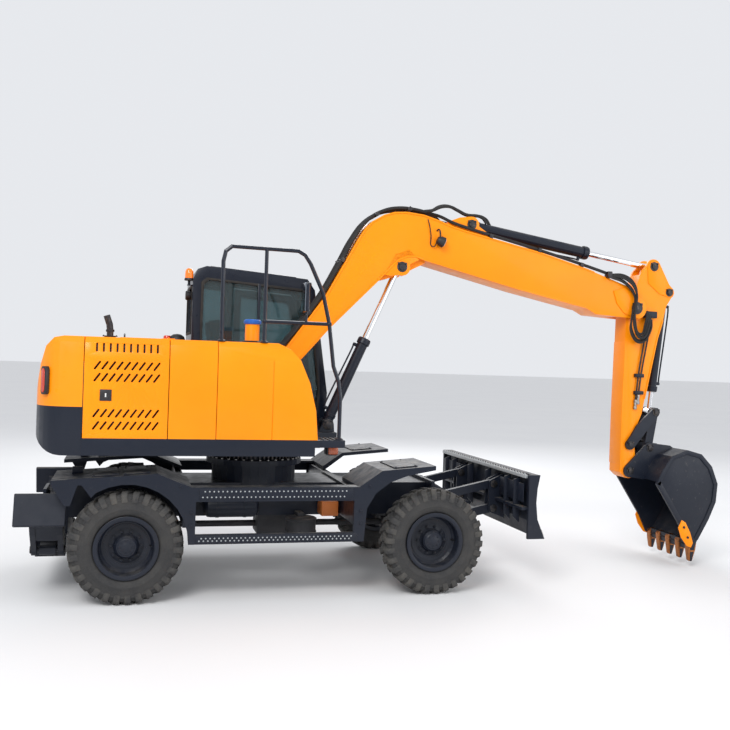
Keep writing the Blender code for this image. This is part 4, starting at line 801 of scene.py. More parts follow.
class EXCAVATOR_OT_wheels(bpy.types.Operator):
    """Nuts, hub caps, lock rings and valves on the rims"""

    bl_idname = "excavator.wheels"
    bl_label = "Wheel details"
    bl_options = {"REGISTER", "UNDO"}

    def execute(self, context):
        circle, count = sizes().nut_circle, sizes().wheel_nuts
        nut = hexagon("nut", (circle, 0, -0.008), UP, 0.0135, 0.016)
        stud = post("stud", (circle, 0, 0.006), (circle, 0, 0.018), 0.0065, 12, 0.001)
        nuts = joined("nuts", ring_of(joined("nut", [nut, stud]), count, ORIGIN, UP))
        cap_profile = [
            (0.0, 0.074), (0.03, 0.074), (0.036, 0.07), (0.06, 0.069), (0.066, 0.064),
            (0.067, 0.058), (0.0, 0.058),
        ]
        cap = lathe("hub_cap", cap_profile, ORIGIN, UP, 40)
        screws = ring_of(hexagon("cap_screw", (0.05, 0, 0.069), UP, 0.006, 0.006), 8, ORIGIN, UP)
        boss = lathe(
            "hub_boss", [(0.0725, 0.0), (0.098, -0.006), (0.098, -0.001), (0.086, 0.01), (0.0865, 0.034),
                         (0.08, 0.04), (0.0725, 0.041)], ORIGIN, UP, 40)
        band = TYRE_HALF - 0.0125
        ring = lathe(
            "lock_ring", [(0.209, band - 0.012), (0.236, band - 0.006), (0.2435, band),
                          (0.2435, band + 0.004),
                          (0.236, band + 0.006), (0.212, band + 0.002)], ORIGIN, UP, 64, 0.001)
        dish = lathe(
            "dish_ring", [(0.15, -0.01), (0.17, -0.007), (0.17, -0.002), (0.15, -0.005)],
            ORIGIN, UP, 48)
        hub = joined("hub", [cap, *screws, boss, ring, dish])
        valve = tube("valve", [(0.178, 0.0, 0.0), (0.186, 0.0, 0.02), (0.19, 0.0, 0.05)], 0.005, True, 8)
        for name in WHEEL_NODES:
            side = -1 if name.endswith("right") else 1
            turn = Matrix.Rotation(-side * math.pi / 2, 4, "X")
            matrix = Matrix.Translation(centre(name + "_tyre")) @ turn
            for source, slot, look in ((nuts, "navy", "navy paint"), (hub, "navy", "navy paint"),
                                       (valve, "iron", "dark steel")):
                done(copied(source, f"{name}_{source.name}", matrix), name + "_wheel", look)
        discard(nuts, hub, valve)
        return {"FINISHED"}


class EXCAVATOR_OT_undercarriage(bpy.types.Operator):
    """Fascias, deck plates, cans, brackets and bolts of the undercarriage"""

    bl_idname = "excavator.undercarriage"
    bl_label = "Undercarriage details"
    bl_options = {"REGISTER", "UNDO"}

    def execute(self, context):
        for side, word in SIDES:
            self.fascias(side, word)
            self.deck(side, word)
        self.slew_bolts()
        self.driveline()
        self.stabilizers()
        return {"FINISHED"}

    def fascias(self, side, word):
        """Dotted anti-slip strips along the upper and the lower beam; the light grey of the dots is a painted
        highlight.
        """
        y_face = side * FRAME_FACE
        for row, (low, high) in {"upper": (0.8, 0.884), "lower": (0.462, 0.522)}.items():
            x_low, x_high = (-0.7, 0.52) if row == "upper" else (-0.72, 0.56)
            ys = sorted((y_face - side * 0.004, y_face + side * 0.004))
            strip = block(f"{word}_{row}_strip", at(x_low, ys[0], low), at(x_high, ys[1], high), 0.002)
            dot = post("dot", ORIGIN, (0, side * 0.0022, 0), 0.0062, 10, 0.0006)
            columns = int((x_high - x_low - 0.03) / STUD_GAP)
            spots = [at(x_low + 0.026 + (column + line / 2) * STUD_GAP, y_face + side * 0.0038,
                        low + 0.02 + line * (high - low - 0.04))
                     for column in range(columns) for line in (0, 1)]
            dots = [copied(dot, "dot", Matrix.Translation(spot)) for spot in spots]
            discard(dot)
            done(strip, "chassis", "deck paint")
            # The dots are light grey: a painted highlight on the raised studs.
            done(joined(f"{word}_{row}_studs", dots), "chassis", "light edge")

    def deck(self, side, word):
        """Hatch plates and bolts on the decks, a bracket behind them and bolts on the side frame."""
        parts = []
        ys = sided(side, 0.5, 0.96)
        for number, (x, z, slope) in enumerate(((-1.4, 0.978, 0.0649), (-1.17, 0.993, 0.0649),
                                                (0.98, 1.048, 0.087))):
            plate = block(f"{word}_hatch_{number}", (-0.1, ys[0], -0.002), (0.1, ys[1], 0.006), 0.003)
            placed(plate, at(x, 0, z), -slope)
            parts.append(plate)
            for bx in (-0.085, 0.085):
                for y in (ys[0] + 0.02, ys[1] - 0.02):
                    bolt = hexagon("deck_bolt", (bx, y, 0.005), UP, 0.009, 0.006)
                    placed(bolt, at(x, 0, z), -slope)
                    parts.append(bolt)
        bracket_y = sided(side, 0.6, 0.66)
        low, high = at(-1.66, bracket_y[0], 0.955), at(-1.58, bracket_y[1], 1.01)
        parts.append(block(word + "_bracket", low, high, 0.004))
        y_face = side * FRAME_FACE
        for x, z in ((-0.76, 0.6), (-0.76, 0.7), (0.59, 0.6), (0.59, 0.7), (0.66, 0.9), (-0.84, 0.9)):
            parts.append(hexagon("frame_bolt", at(x, y_face - side * 0.001, z), (0, side, 0), 0.012, 0.009))
        done(joined(word + "_deck_details", parts), "chassis", "deck paint")

    def slew_bolts(self):
        middle = at(-0.15, 0, 1.0)
        bolt = hexagon("ring_bolt", middle + Vector((0.4, 0, 0.0302)), UP, 0.011, 0.012)
        bolts = ring_of(bolt, 36, middle, UP)
        done(joined("slew_ring_bolts", bolts), "chassis", "bare steel")
        tooth = block("ring_tooth", middle + Vector((0.355, -0.008, 0.036)),
                      middle + Vector((0.386, 0.008, 0.082)), 0.002)
        teeth = joined("slew_ring_teeth", ring_of(tooth, 64, middle, UP))
        done(teeth, "upper", "dark steel")

    def driveline(self):
        """Valve can, air tank and the small box that show through the side frame."""
        can = lathe(
            "valve_can", [(0.0, 0.0), (0.128, 0.0), (0.134, 0.006), (0.134, 0.02), (0.128, 0.026),
                          (0.128, 0.108), (0.134, 0.114), (0.134, 0.126), (0.12, 0.134), (0.0, 0.136)],
            at(0.2, -0.5, 0.436), UP, 40)
        lug = block("can_lug", at(0.17, -0.5, 0.56), at(0.23, -0.33, 0.6), 0.004)
        done(joined("valve_can", [can, lug]), "chassis", "cast iron")
        tank = lathe(
            "air_tank", [(0.0, 0.0), (0.06, 0.006), (0.088, 0.03), (0.092, 0.06), (0.092, 0.4),
                         (0.088, 0.43), (0.06, 0.454), (0.0, 0.46)], at(-0.62, -0.46, 0.66), (1, 0, 0), 32)
        straps = [lathe("strap", [(0.0925, x), (0.0955, x), (0.0955, x + 0.025), (0.0925, x + 0.025)],
                        at(-0.62, -0.46, 0.66), (1, 0, 0), 32) for x in (0.1, 0.33)]
        hanger = block("hanger", at(-0.5, -0.46, 0.72), at(-0.26, -0.33, 0.75), 0.004)
        done(joined("air_tank", [tank, *straps, hanger]), "chassis", "navy paint")
        housing = block("pedal_box", at(0.375, -0.52, 0.575), at(0.52, -0.33, 0.7), 0.006)
        lid = block("pedal_lid", at(0.39, -0.526, 0.59), at(0.505, -0.518, 0.685), 0.002)
        done(joined("pedal_box", [housing, lid]), "chassis", "orange part")
        runs = []
        for number in range(3):
            y, z = -0.37 - 0.03 * number, 0.8 - 0.025 * number
            runs.append(tube(f"chassis_hose_{number}", [
                at(-0.72, y, z - 0.06), at(-0.5, y, z), at(-0.1, y - 0.03, z - 0.03), at(0.25, y, z),
                at(0.5, y, z - 0.05)], 0.011))
        done(joined("chassis_hoses", runs), "chassis", "hose rubber")

    def stabilizers(self):
        """Pin ends on the raised legs."""
        middle = at(-1.825, 0, 0)
        for side, word in SIDES:
            pin = Vector((middle.x, side * 0.62, 0.36))
            parts = [post(word + "_leg_pin", pin + Vector((way * 0.121, 0, 0)),
                          pin + Vector((way * 0.133, 0, 0)),
                          0.03, 24, 0.003) for way in (-1, 1)]
            done(joined(word + "_leg_pins", parts), "chassis", "dark steel")


class EXCAVATOR_OT_dozer_blade(bpy.types.Operator):
    """Serrated top strip, cutting edge, ribs and pins of the dozer blade"""

    bl_idname = "excavator.dozer_blade"
    bl_label = "Dozer blade details"
    bl_options = {"REGISTER", "UNDO"}

    def execute(self, context):
        low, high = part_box("dozer_blade")
        x_back, top = low.x + 0.062, high.z
        teeth = []
        count = 34
        pitch = (high.y - low.y - 0.1) / count
        tooth = prism("notch", [(0, 0), (pitch * 0.5, 0.016), (pitch, 0)], 0, 0.01, 0.0, "yz")
        for number in range(count):
            spot = Vector((x_back + 0.03, low.y + 0.05 + number * pitch, top - 0.006))
            teeth.append(copied(tooth, f"notch_{number}", Matrix.Translation(spot)))
        discard(tooth)
        rail = block("top_rail", (x_back + 0.022, low.y + 0.04, top - 0.03),
                     (x_back + 0.046, high.y - 0.04, top - 0.002), 0.002)
        # The top strip and its notches are light grey: a painted highlight along the blade's top edge.
        done(joined("blade_top_strip", [rail, *teeth]), "blade", "light edge")
        edge = prism("blade_edge", [
            (high.x - 0.02, low.z + 0.001), (high.x + 0.004, low.z + 0.001), (high.x - 0.018, low.z + 0.075),
            (high.x - 0.038, low.z + 0.075)], low.y + 0.012, high.y - 0.012, 0.002)
        gap = (high.y - low.y - 0.2) / 11
        bolts = [hexagon("edge_bolt", (high.x - 0.01, low.y + 0.1 + n * gap, low.z + 0.045), (1, 0, 0.3),
                         0.012, 0.006) for n in range(12)]
        done(joined("blade_cutting_edge", [edge, *bolts]), "blade", "bare steel")
        outline = [(x_back - 0.004, low.z + 0.16), (x_back + 0.055, low.z + 0.1),
                   (x_back + 0.055, top - 0.04),
                   (x_back - 0.004, top - 0.06)]
        ribs = [prism("rib", outline, y - 0.008, y + 0.008, 0.002)
                for y in (-0.86, -0.66, -0.22, 0.22, 0.66, 0.86)]
        ribs.append(block("rib_bar", (x_back - 0.004, low.y + 0.03, low.z + 0.24),
                          (x_back + 0.06, high.y - 0.03, low.z + 0.265), 0.003))
        ribs += [block("panel", (x_back + 0.022, y, low.z + 0.3), (x_back + 0.034, y + 0.5, top - 0.08),
                       0.006)
                 for y in (-1.0, 0.5)]
        done(joined("blade_ribs", ribs), "blade", "deck paint")
        ends = [(side * y, side * (y + out), z) for z in (0.62, 0.84) for side in (-1, 1)
                for y, out in ((0.46, 0.01), (0.36, -0.01))]
        pins = [post("blade_pin", at(1.975, near, z), at(1.975, far, z), 0.034, 20, 0.003) for near, far,
                z in ends]
        done(joined("blade_pins", pins), "blade", "dark steel")
        return {"FINISHED"}


class EXCAVATOR_OT_body_panels(bpy.types.Operator):
    """Body panels with eased edges, louvres, latch, seams, lamps and cap"""

    bl_idname = "excavator.body_panels"
    bl_label = "Body panels"
    bl_options = {"REGISTER", "UNDO"}

    def execute(self, context):
        edge = sizes().edge
        softened("counterweight", "upper", "weight paint", edge)
        seam = block("tank_seam", at(-0.152, -1.03, 1.24), at(-0.147, -0.995, 2.1), 0.0)
        softened("fuel_tank", "upper", "yellow paint", edge, [seam])
        softened("side_cover", "upper", "yellow paint", edge * 0.6)
        softened("left_cover", "upper", "yellow paint", edge * 0.6)
        softened("hood_lid", "hood_lid", "yellow paint", edge * 0.5)
        softened("side_door", "side_door", "yellow paint", edge * 0.5, [self.slots()])
        softened("platform", "upper", "navy paint", edge * 0.5)
        self.louvre_backing()
        self.latch()
        self.filler_cap()
        self.tail_lamps()
        self.exhaust()
        self.rear_details()
        self.lid_details()
        self.breather()
        return {"FINISHED"}

    def slots(self):
        """One cutter for all the door's slots: a row of upright ones and four of slanted ones."""
        width = sizes().slot_width
        upright = self.slot_shape(width, 0.068, 0.0)
        slanted = self.slot_shape(width, 0.078, 0.62)
        spots = [(upright, at(-1.492 + column * 0.0495, -0.99, SLOT_ROWS[0])) for column in range(10)]
        spots += [(slanted, at(-1.485 + column * 0.0545, -0.985,
                               z)) for z in SLOT_ROWS[1:] for column in range(9)]
        made = [copied(shape, "slot", Matrix.Translation(spot)) for shape, spot in spots]
        discard(upright, slanted)
        return joined("slot_cutter", made)

    def slot_shape(self, width, length, lean):
        """A long slot with round ends, through the door's skin."""
        radius, reach = width / 2, (length - width) / 2
        outline = []
        for end, start in ((1, 0.0), (-1, math.pi)):
            for step in range(7):
                angle = start + math.pi * step / 6
                outline.append((radius * math.cos(angle), end * reach + radius * math.sin(angle)))
        turned = [
            (u * math.cos(lean) + v * math.sin(lean), -u * math.sin(lean) + v * math.cos(lean)) for u,
            v in outline
        ]
        return prism("slot_shape", turned, -0.06, 0.06, 0.0)

    def louvre_backing(self):
        """Painted shade: a black sheet and a black strip at each row of slots, a little behind the slots, so
        that the slots read dark.
        """
        back = block("louvre_backing", at(-1.545, -0.962, 1.3), at(-0.99, -0.955, 1.98), 0.002)
        shade_strips = [block("baffle", at(-1.53, -0.969, z - 0.004), at(-1.0, -0.96, z + 0.004), 0.001)
                  for z in SLOT_ROWS]
        done(joined("louvre_backing", [back, *shade_strips]), "side_door", "black plastic")

    def latch(self):
        plate = block("latch_plate", at(-1.462, -1.006, 1.548), at(-1.376, -0.998, 1.634), 0.003)
        cup = lathe("latch_cup", [(0.0, -0.002), (0.026, 0.0), (0.03, 0.003), (0.026, 0.006), (0.01, 0.003),
                                  (0.0, 0.003)], at(-1.419, -1.005, 1.591), (0, -1, 0), 28)
        done(joined("door_latch", [plate, cup]), "side_door", "black plastic")
        key = block("latch_key", at(-1.424, -1.014, 1.577), at(-1.414, -1.006, 1.607), 0.002)
        done(key, "side_door", "white label")

    def filler_cap(self):
        place = at(*CAP_SPOT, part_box("fuel_tank")[1].z)
        profile = [(0.0, -0.026), (0.064, -0.026), (0.068, -0.02), (0.068, 0.004), (0.06, 0.012),
                   (0.0, 0.016)]
        cap = lathe("cap_body", profile, place, UP, 36)
        grip = ring_of(block("cap_grip", place + Vector((0.062, -0.005, -0.02)),
                             place + Vector((0.071, 0.005, 0.002)), 0.002), 12, place, UP)
        done(joined("filler_cap", [cap, *grip]), "upper", "blue cap")
        collar = lathe("collar", [(0.058, 0.0), (0.078, 0.0), (0.078, 0.01), (0.066, 0.016), (0.0585, 0.016)],
                       at(*CAP_SPOT, HOOD_TOP), UP, 36)
        done(collar, "upper", "navy paint")

    def tail_lamps(self):
        """Upright slit lamps near the rear corners."""
        for side, word in SIDES:
            out = Vector((-0.8, side * 0.6, 0)).normalized()
            place = at(-1.862, side * 0.93, 1.69)
            for name, half, deep, look in (
                ("surround", (0.032, 0.105), 0.012, "black plastic"),
                ("lens", (0.02, 0.09), 0.018, "red lens")):
                corners = [(-half[0], -half[1] + 0.02), (-half[0] + 0.012, -half[1]),
                           (half[0] - 0.012, -half[1]), (half[0], -half[1] + 0.02)]
                corners += [(-u, -v) for u, v in corners]
                made = prism(f"{word}_tail_{name}", corners, -0.02, deep, 0.003)
                placed(made, place, math.atan2(out.y, out.x) - math.pi / 2, "Z")
                done(made, "upper", look)

    def exhaust(self):
        base = at(-1.41, -0.55, HOOD_TOP)
        clamp = lathe("stack_clamp", [(0.027, 0.05), (0.033, 0.05), (0.033, 0.068), (0.027, 0.068)], base, UP,
                      28)
        plate = lathe("stack_plate", [(0.03, 0.012), (0.058, 0.012), (0.058, 0.018), (0.03, 0.02)], base, UP,
                      28)
        bolts = ring_of(hexagon("stack_bolt", base + Vector((0.05, 0, 0.018)), UP, 0.006, 0.006), 4, base, UP)
        done(joined("stack_fittings", [clamp, plate, *bolts]), "upper", "dark steel")

    def rear_details(self):
        """Tow eye, and the dark seams between the rear mass and the covers."""
        low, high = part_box("counterweight")
        eye = lathe("tow_eye", [(0.02, -0.012), (0.034, -0.012), (0.04, 0.0), (0.034, 0.012), (0.02, 0.012)],
                    Vector((low.x + 0.02, 0, 1.33)), (0, 1, 0), 28)
        root = block("eye_root", (low.x + 0.03, -0.012, 1.3), (low.x + 0.09, 0.012, 1.36), 0.004)
        done(joined("tow_eye", [eye, root]), "upper", "dark steel")
        for side, word in SIDES:
            seam = block(word + "_seam", at(-1.588, side * 0.985 - 0.012, 1.3),
                         at(-1.576, side * 0.985 + 0.006, 1.84), 0.002)
            done(seam, "upper", "seal rubber")

    def breather(self):
        """Low black intake dome with a red cap, behind the cab."""
        dome = lathe("intake_dome", [(0.0, 0.0), (0.072, 0.0), (0.076, 0.006), (0.074, 0.03), (0.062, 0.058),
                                     (0.036, 0.076), (0.0, 0.082)], at(*DOME_SPOT, 2.028), UP, 36)
        fins = ring_of(block("dome_fin", at(-0.768, 0.417, 2.034), at(-0.757, 0.423, 2.056), 0.0015), 18,
                       at(*DOME_SPOT, 2.028), UP)
        done(joined("intake_dome", [dome, *fins]), "upper", "black plastic")
        # The cap takes the red lens finish, whose emission makes it glow faintly though it is no lamp: a
        # painted glow.
        cap = lathe("coolant_cap",
                    [(0.0, 0.0), (0.03, 0.0), (0.034, 0.01), (0.034, 0.05), (0.028, 0.062), (0.0, 0.066)],
                    at(-0.925, 0.42, 2.028), UP, 28)
        done(cap, "upper", "red lens")

    def lid_details(self):
        """Pressed ribs and a pull handle on the lid."""
        ribs = [block("lid_rib", at(-1.27 + n * 0.085, -0.55, HOOD_TOP),
                      at(-1.24 + n * 0.085, 0.55, HOOD_TOP + 0.0085),
                      0.004) for n in range(4)]
        done(joined("lid_ribs", ribs), "hood_lid", "yellow paint")
        handle = tube("lid_handle", [at(-1.3, -0.1, 2.034), at(-1.3, -0.09, 2.058), at(-1.3, 0.09, 2.058),
                                     at(-1.3, 0.1, 2.034)], 0.007)
        done(handle, "hood_lid", "black plastic")


class EXCAVATOR_OT_cab(bpy.types.Operator):
    """Window seals, beacon, wiper, lamps, seat, wheel and levers of the cab"""

    bl_idname = "excavator.cab"
    bl_label = "Cab details"
    bl_options = {"REGISTER", "UNDO"}

    def execute(self, context):
        softened("cab_shell", "upper", "cab paint", 0.006)
        softened("cab_door", "cab_door", "cab paint", 0.004)
        self.seals()
        self.beacon()
        self.wiper()
        self.roof()
        self.seat()
        self.controls()
        self.door_handle()
        return {"FINISHED"}

    def frame_strip(self, name, outline, y_low, y_high, width):
        """A closed rubber frame that follows an outline in x and z."""
        middle = Vector((sum(p[0] for p in outline), sum(p[1] for p in outline))) / len(outline)
        outer = side_prism(name, outline, y_low, y_high, 0.0)
        inner_outline = []
        for x, z in outline:
            away = middle - Vector((x, z))
            scale = width / max(away.length, 0.01) * 1.35
            inner_outline.append((x + away.x * scale, z + away.y * scale))
        inner = side_prism(name + "_hole", inner_outline, y_low - 0.02, y_high + 0.02, 0.0)
        cut(outer, inner)
        return rounded(outer, 0.002)

    def seals(self):
        right = [(-0.645, 1.415), (0.465, 1.415), (0.48, 1.62), (0.36, 2.505), (0.303, 2.566), (-0.6, 2.626),
                 (-0.645, 2.585)]
        done(self.frame_strip("right_window_seal", right, 0.209, 0.219, 0.022), "upper",
             "seal rubber")
        bar = side_prism("window_bar", [(-0.13, 1.42), (-0.105, 1.42), (-0.105, 2.59), (-0.13, 2.592)],
                         0.206, 0.236, 0.003)
        done(bar, "upper", "cab paint")
        door = [(-0.206, 1.614), (0.426, 1.614), (0.306, 2.464), (0.274, 2.496), (-0.206, 2.526)]
        done(self.frame_strip("door_window_seal", door, 0.997, 1.004, 0.02), "cab_door",
             "seal rubber")
        quarter = [(-0.646, 1.744), (-0.344, 1.744), (-0.344, 2.586), (-0.61, 2.606), (-0.646, 2.575)]
        done(self.frame_strip("quarter_window_seal", quarter, 0.997, 1.004, 0.018), "upper",
             "seal rubber")
        rear = [(0.275, 2.11), (0.94, 2.11), (0.94, 2.56), (0.275, 2.56)]
        outer = prism("rear_window_seal", rear, at(-0.727, 0, 0).x, at(-0.718, 0, 0).x, 0.0, "yz")
        hole = prism("hole", [(0.298, 2.133), (0.917, 2.133), (0.917, 2.537), (0.298, 2.537)],
                     at(-0.76, 0, 0).x, at(-0.7, 0, 0).x, 0.0, "yz")
        cut(outer, hole)
        done(rounded(outer, 0.002), "upper", "seal rubber")

    def beacon(self):
        place = at(-0.752, 0.27, 2.575)
        arm = [block("beacon_arm", at(-0.77, 0.255, 2.548), at(-0.715, 0.285, 2.556), 0.002),
               post("beacon_stem", place + Vector((0, 0, -0.02)), place + Vector((0, 0, 0.02)), 0.012, 16,
                    0.002)]
        done(joined("beacon_bracket", arm), "upper", "cab paint")
        base = lathe("beacon_base", [(0.0, 0.0), (0.04, 0.0), (0.043, 0.006), (0.04, 0.022), (0.0, 0.022)],
                     place + Vector((0, 0, 0.018)), UP, 28)
        done(base, "upper", "black plastic")
        dome = lathe("beacon_dome", [(0.0, 0.0), (0.037, 0.0), (0.038, 0.03), (0.036, 0.062), (0.028, 0.082),
                                     (0.014, 0.092), (0.0, 0.094)], place + Vector((0, 0, 0.038)), UP, 32)
        done(dome, "upper", "beacon lens")
        horn = lathe("rear_lamp",
                     [(0.0, 0.0), (0.03, 0.0), (0.042, 0.02), (0.042, 0.05), (0.036, 0.056), (0.0, 0.054)],
                     at(-0.722, 0.31, 2.46), (-1, 0, 0), 28)
        done(horn, "upper", "black plastic")

    def wiper(self):
        arm = tube("wiper_arm", [at(0.535, 0.6, 1.66), at(0.512, 0.58, 1.85), at(0.476, 0.52, 2.1)], 0.006,
                   True, 8)
        blade = block("wiper_blade", (-0.008, -0.006, -0.2), (0.008, 0.006, 0.2), 0.002)
        placed(blade, at(0.474, 0.52, 2.08), -0.155)
        done(joined("windshield_wiper", [arm, blade]), "upper", "black plastic")

    def roof(self):
        """Raised roof panel and two work lamps on the brow."""
        panel = prism("roof_panel",
                      [(at(-0.56, 0, 0).x, 0.3), (at(0.24, 0, 0).x, 0.3), (at(0.24, 0, 0).x, 0.92),
                                     (at(-0.56, 0, 0).x, 0.92)], 0.0, 0.018, 0.006, "xy")
        panel.data.transform(Matrix.Translation((0, 0, ROOF_TOP)))
        for vertex in panel.data.vertices:
            vertex.co.z += -(vertex.co.x - at(-0.6, 0, 0).x) * 0.0753 + 0.036
        done(panel, "upper", "cab paint")
        for number, y in enumerate((0.36, 0.86)):
            place = at(0.375, y, 2.6)
            shell = lathe("lamp_shell",
                          [(0.0, -0.05), (0.032, -0.045), (0.045, -0.01), (0.047, 0.012), (0.04, 0.014),
                           (0.0, 0.008)],
                          place, (1, 0, -0.15), 28)
            done(shell, "upper", "black plastic")
            glass = lathe(f"cab_lamp_glass_{number}",
                          [(0.0, 0.009), (0.038, 0.01), (0.036, 0.018), (0.0, 0.022)],
                          place, (1, 0, -0.15), 28)
            done(glass, "upper", "lamp glass")

    def seat(self):
        """Cushion and back with pulled-in sides and a sewn roll down each side."""
        low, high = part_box("seat")
        middle = (low.y + high.y) / 2
        self.cushion("seat_cushion", Vector((low.x + 0.07, middle, 1.575)), (0.0, high.x - low.x - 0.075),
                     0.235,
                     (0.0, 0.115), 0.0)
        self.cushion("seat_back", Vector((low.x + 0.115, middle, 1.66)), (-0.05, 0.06), 0.225, (0.0, 0.6),
                     -0.16)
        base = block("seat_base", (low.x + 0.06, middle - 0.19, low.z), (high.x - 0.07, middle + 0.19, 1.57),
                     0.012)
        done(base, "upper", "black plastic")

    def cushion(self, name, place, along, half, up, lean):
        """A stuffed block: swollen faces, sides pulled in between the corners and two sewn channels."""
        made = block(name, (along[0], -half, up[0]), (along[1], half, up[1]), 0.0)
        pick(made)
        edit((bpy.ops.mesh.subdivide, {"number_cuts": 7}))
        points = [vertex.co.copy() for vertex in made.data.vertices]
        low = Vector([min(p[i] for p in points) for i in range(3)])
        high = Vector([max(p[i] for p in points) for i in range(3)])
        middle, size = (low + high) / 2, (high - low) / 2
        thin = min(range(3), key=lambda i: size[i])
        for vertex in made.data.vertices:
            u = [(vertex.co[i] - middle[i]) / size[i] for i in range(3)]
            flat = [abs(u[i]) for i in range(3) if i != thin]
            swell = (1 - flat[0] ** 2) * (1 - flat[1] ** 2)
            groove = math.exp(-(((abs(u[1]) - 0.62) / 0.06) ** 2)) * 0.18
            vertex.co[thin] += size[thin] * u[thin] * (0.3 * swell - groove)
            for i in range(3):
                if i != thin and abs(u[i]) > 0.99:
                    other = flat[1] if flat[0] > 0.99 else flat[0]
                    vertex.co[i] -= math.copysign(0.012 * (1 - other**2), u[i])
        modify(made, "SUBSURF", levels=1, render_levels=1)
        placed(made, place, lean)
        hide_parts("seat")
        done(made, "upper", "seat cloth", 60)

    def controls(self):
        y_mid = 0.6075
        column = post("column", at(0.3, y_mid, 1.32), at(0.2, y_mid, 1.92), 0.028, 20, 0.004)
        rim_place = at(0.185, y_mid, 1.955)
        deselect()
        bpy.ops.mesh.primitive_torus_add(major_radius=0.165, minor_radius=0.012, major_segments=40,
                                         minor_segments=10, location=rim_place, rotation=(0, -0.35, 0))
        rim = added("steering_rim")
        spokes = [tube("spoke", [rim_place, rim_place + Vector((0.155 * math.cos(a), 0.155 * math.sin(a),
                                                              0.06 * math.cos(a)))], 0.008, False, 8)
                  for a in (math.pi / 2, -math.pi / 2, math.pi)]
        done(joined("steering_wheel", [column, rim, *spokes]), "upper", "black plastic")
        for side, word in SIDES:
            y = y_mid + side * 0.285
            console = block(word + "_console", at(-0.42, y - 0.035, 1.33), at(-0.08, y + 0.035, 1.8), 0.014)
            stick = tube(word + "_stick", [at(-0.1, y, 1.79), at(-0.085, y, 1.9), at(-0.075, y, 1.99)], 0.01)
            knob = ball(word + "_knob", at(-0.072, y, 2.01), 0.028, (1, 1, 1.4))
            done(joined(word + "_console", [console, stick, knob]), "upper", "black plastic")
        screen = block("monitor", at(0.28, 0.3, 1.78), at(0.31, 0.42, 1.93), 0.006)
        stalk = tube("monitor_stalk", [at(0.31, 0.36, 1.55), at(0.3, 0.36, 1.8)], 0.01)
        done(joined("monitor", [screen, stalk]), "upper", "black plastic")

    def door_handle(self):
        grip = tube("door_grip",
                    [at(0.36, 1.0, 1.5), at(0.36, 1.028, 1.515), at(0.36, 1.028, 1.6), at(0.36, 1.0, 1.615)],
                    0.008)
        plate = block("door_lock", at(0.335, 0.998, 1.49), at(0.385, 1.004, 1.63), 0.004)
        done(joined("door_handle", [grip, plate]), "cab_door", "black plastic")


class EXCAVATOR_OT_rail_and_mirror(bpy.types.Operator):
    """Feet and joints of the rail, and the mirror's glass"""

    bl_idname = "excavator.rail_and_mirror"
    bl_label = "Rail and mirror"
    bl_options = {"REGISTER", "UNDO"}

    def execute(self, context):
        flange = [(0.017, 0.0), (0.034, 0.0), (0.034, 0.007), (0.022, 0.016), (0.017, 0.018)]
        feet = [lathe("foot", flange, at(x, RAIL_Y, z), UP, 24)
                for x, z in ((-0.56, HOOD_TOP), (-0.225, HOOD_TOP), (0.41, 1.265))]
        feet += [ball("rail_joint", at(x, RAIL_Y, 2.2), 0.021) for x in (-0.225, 0.3)]
        done(joined("rail_feet", feet), "upper", "cab paint")
        glass = block("mirror_glass", at(0.076, RAIL_Y - 0.096, 2.29), at(0.084, RAIL_Y + 0.074, 2.52),
                      0.0025)
        done(glass, "upper", "mirror glass")
        return {"FINISHED"}


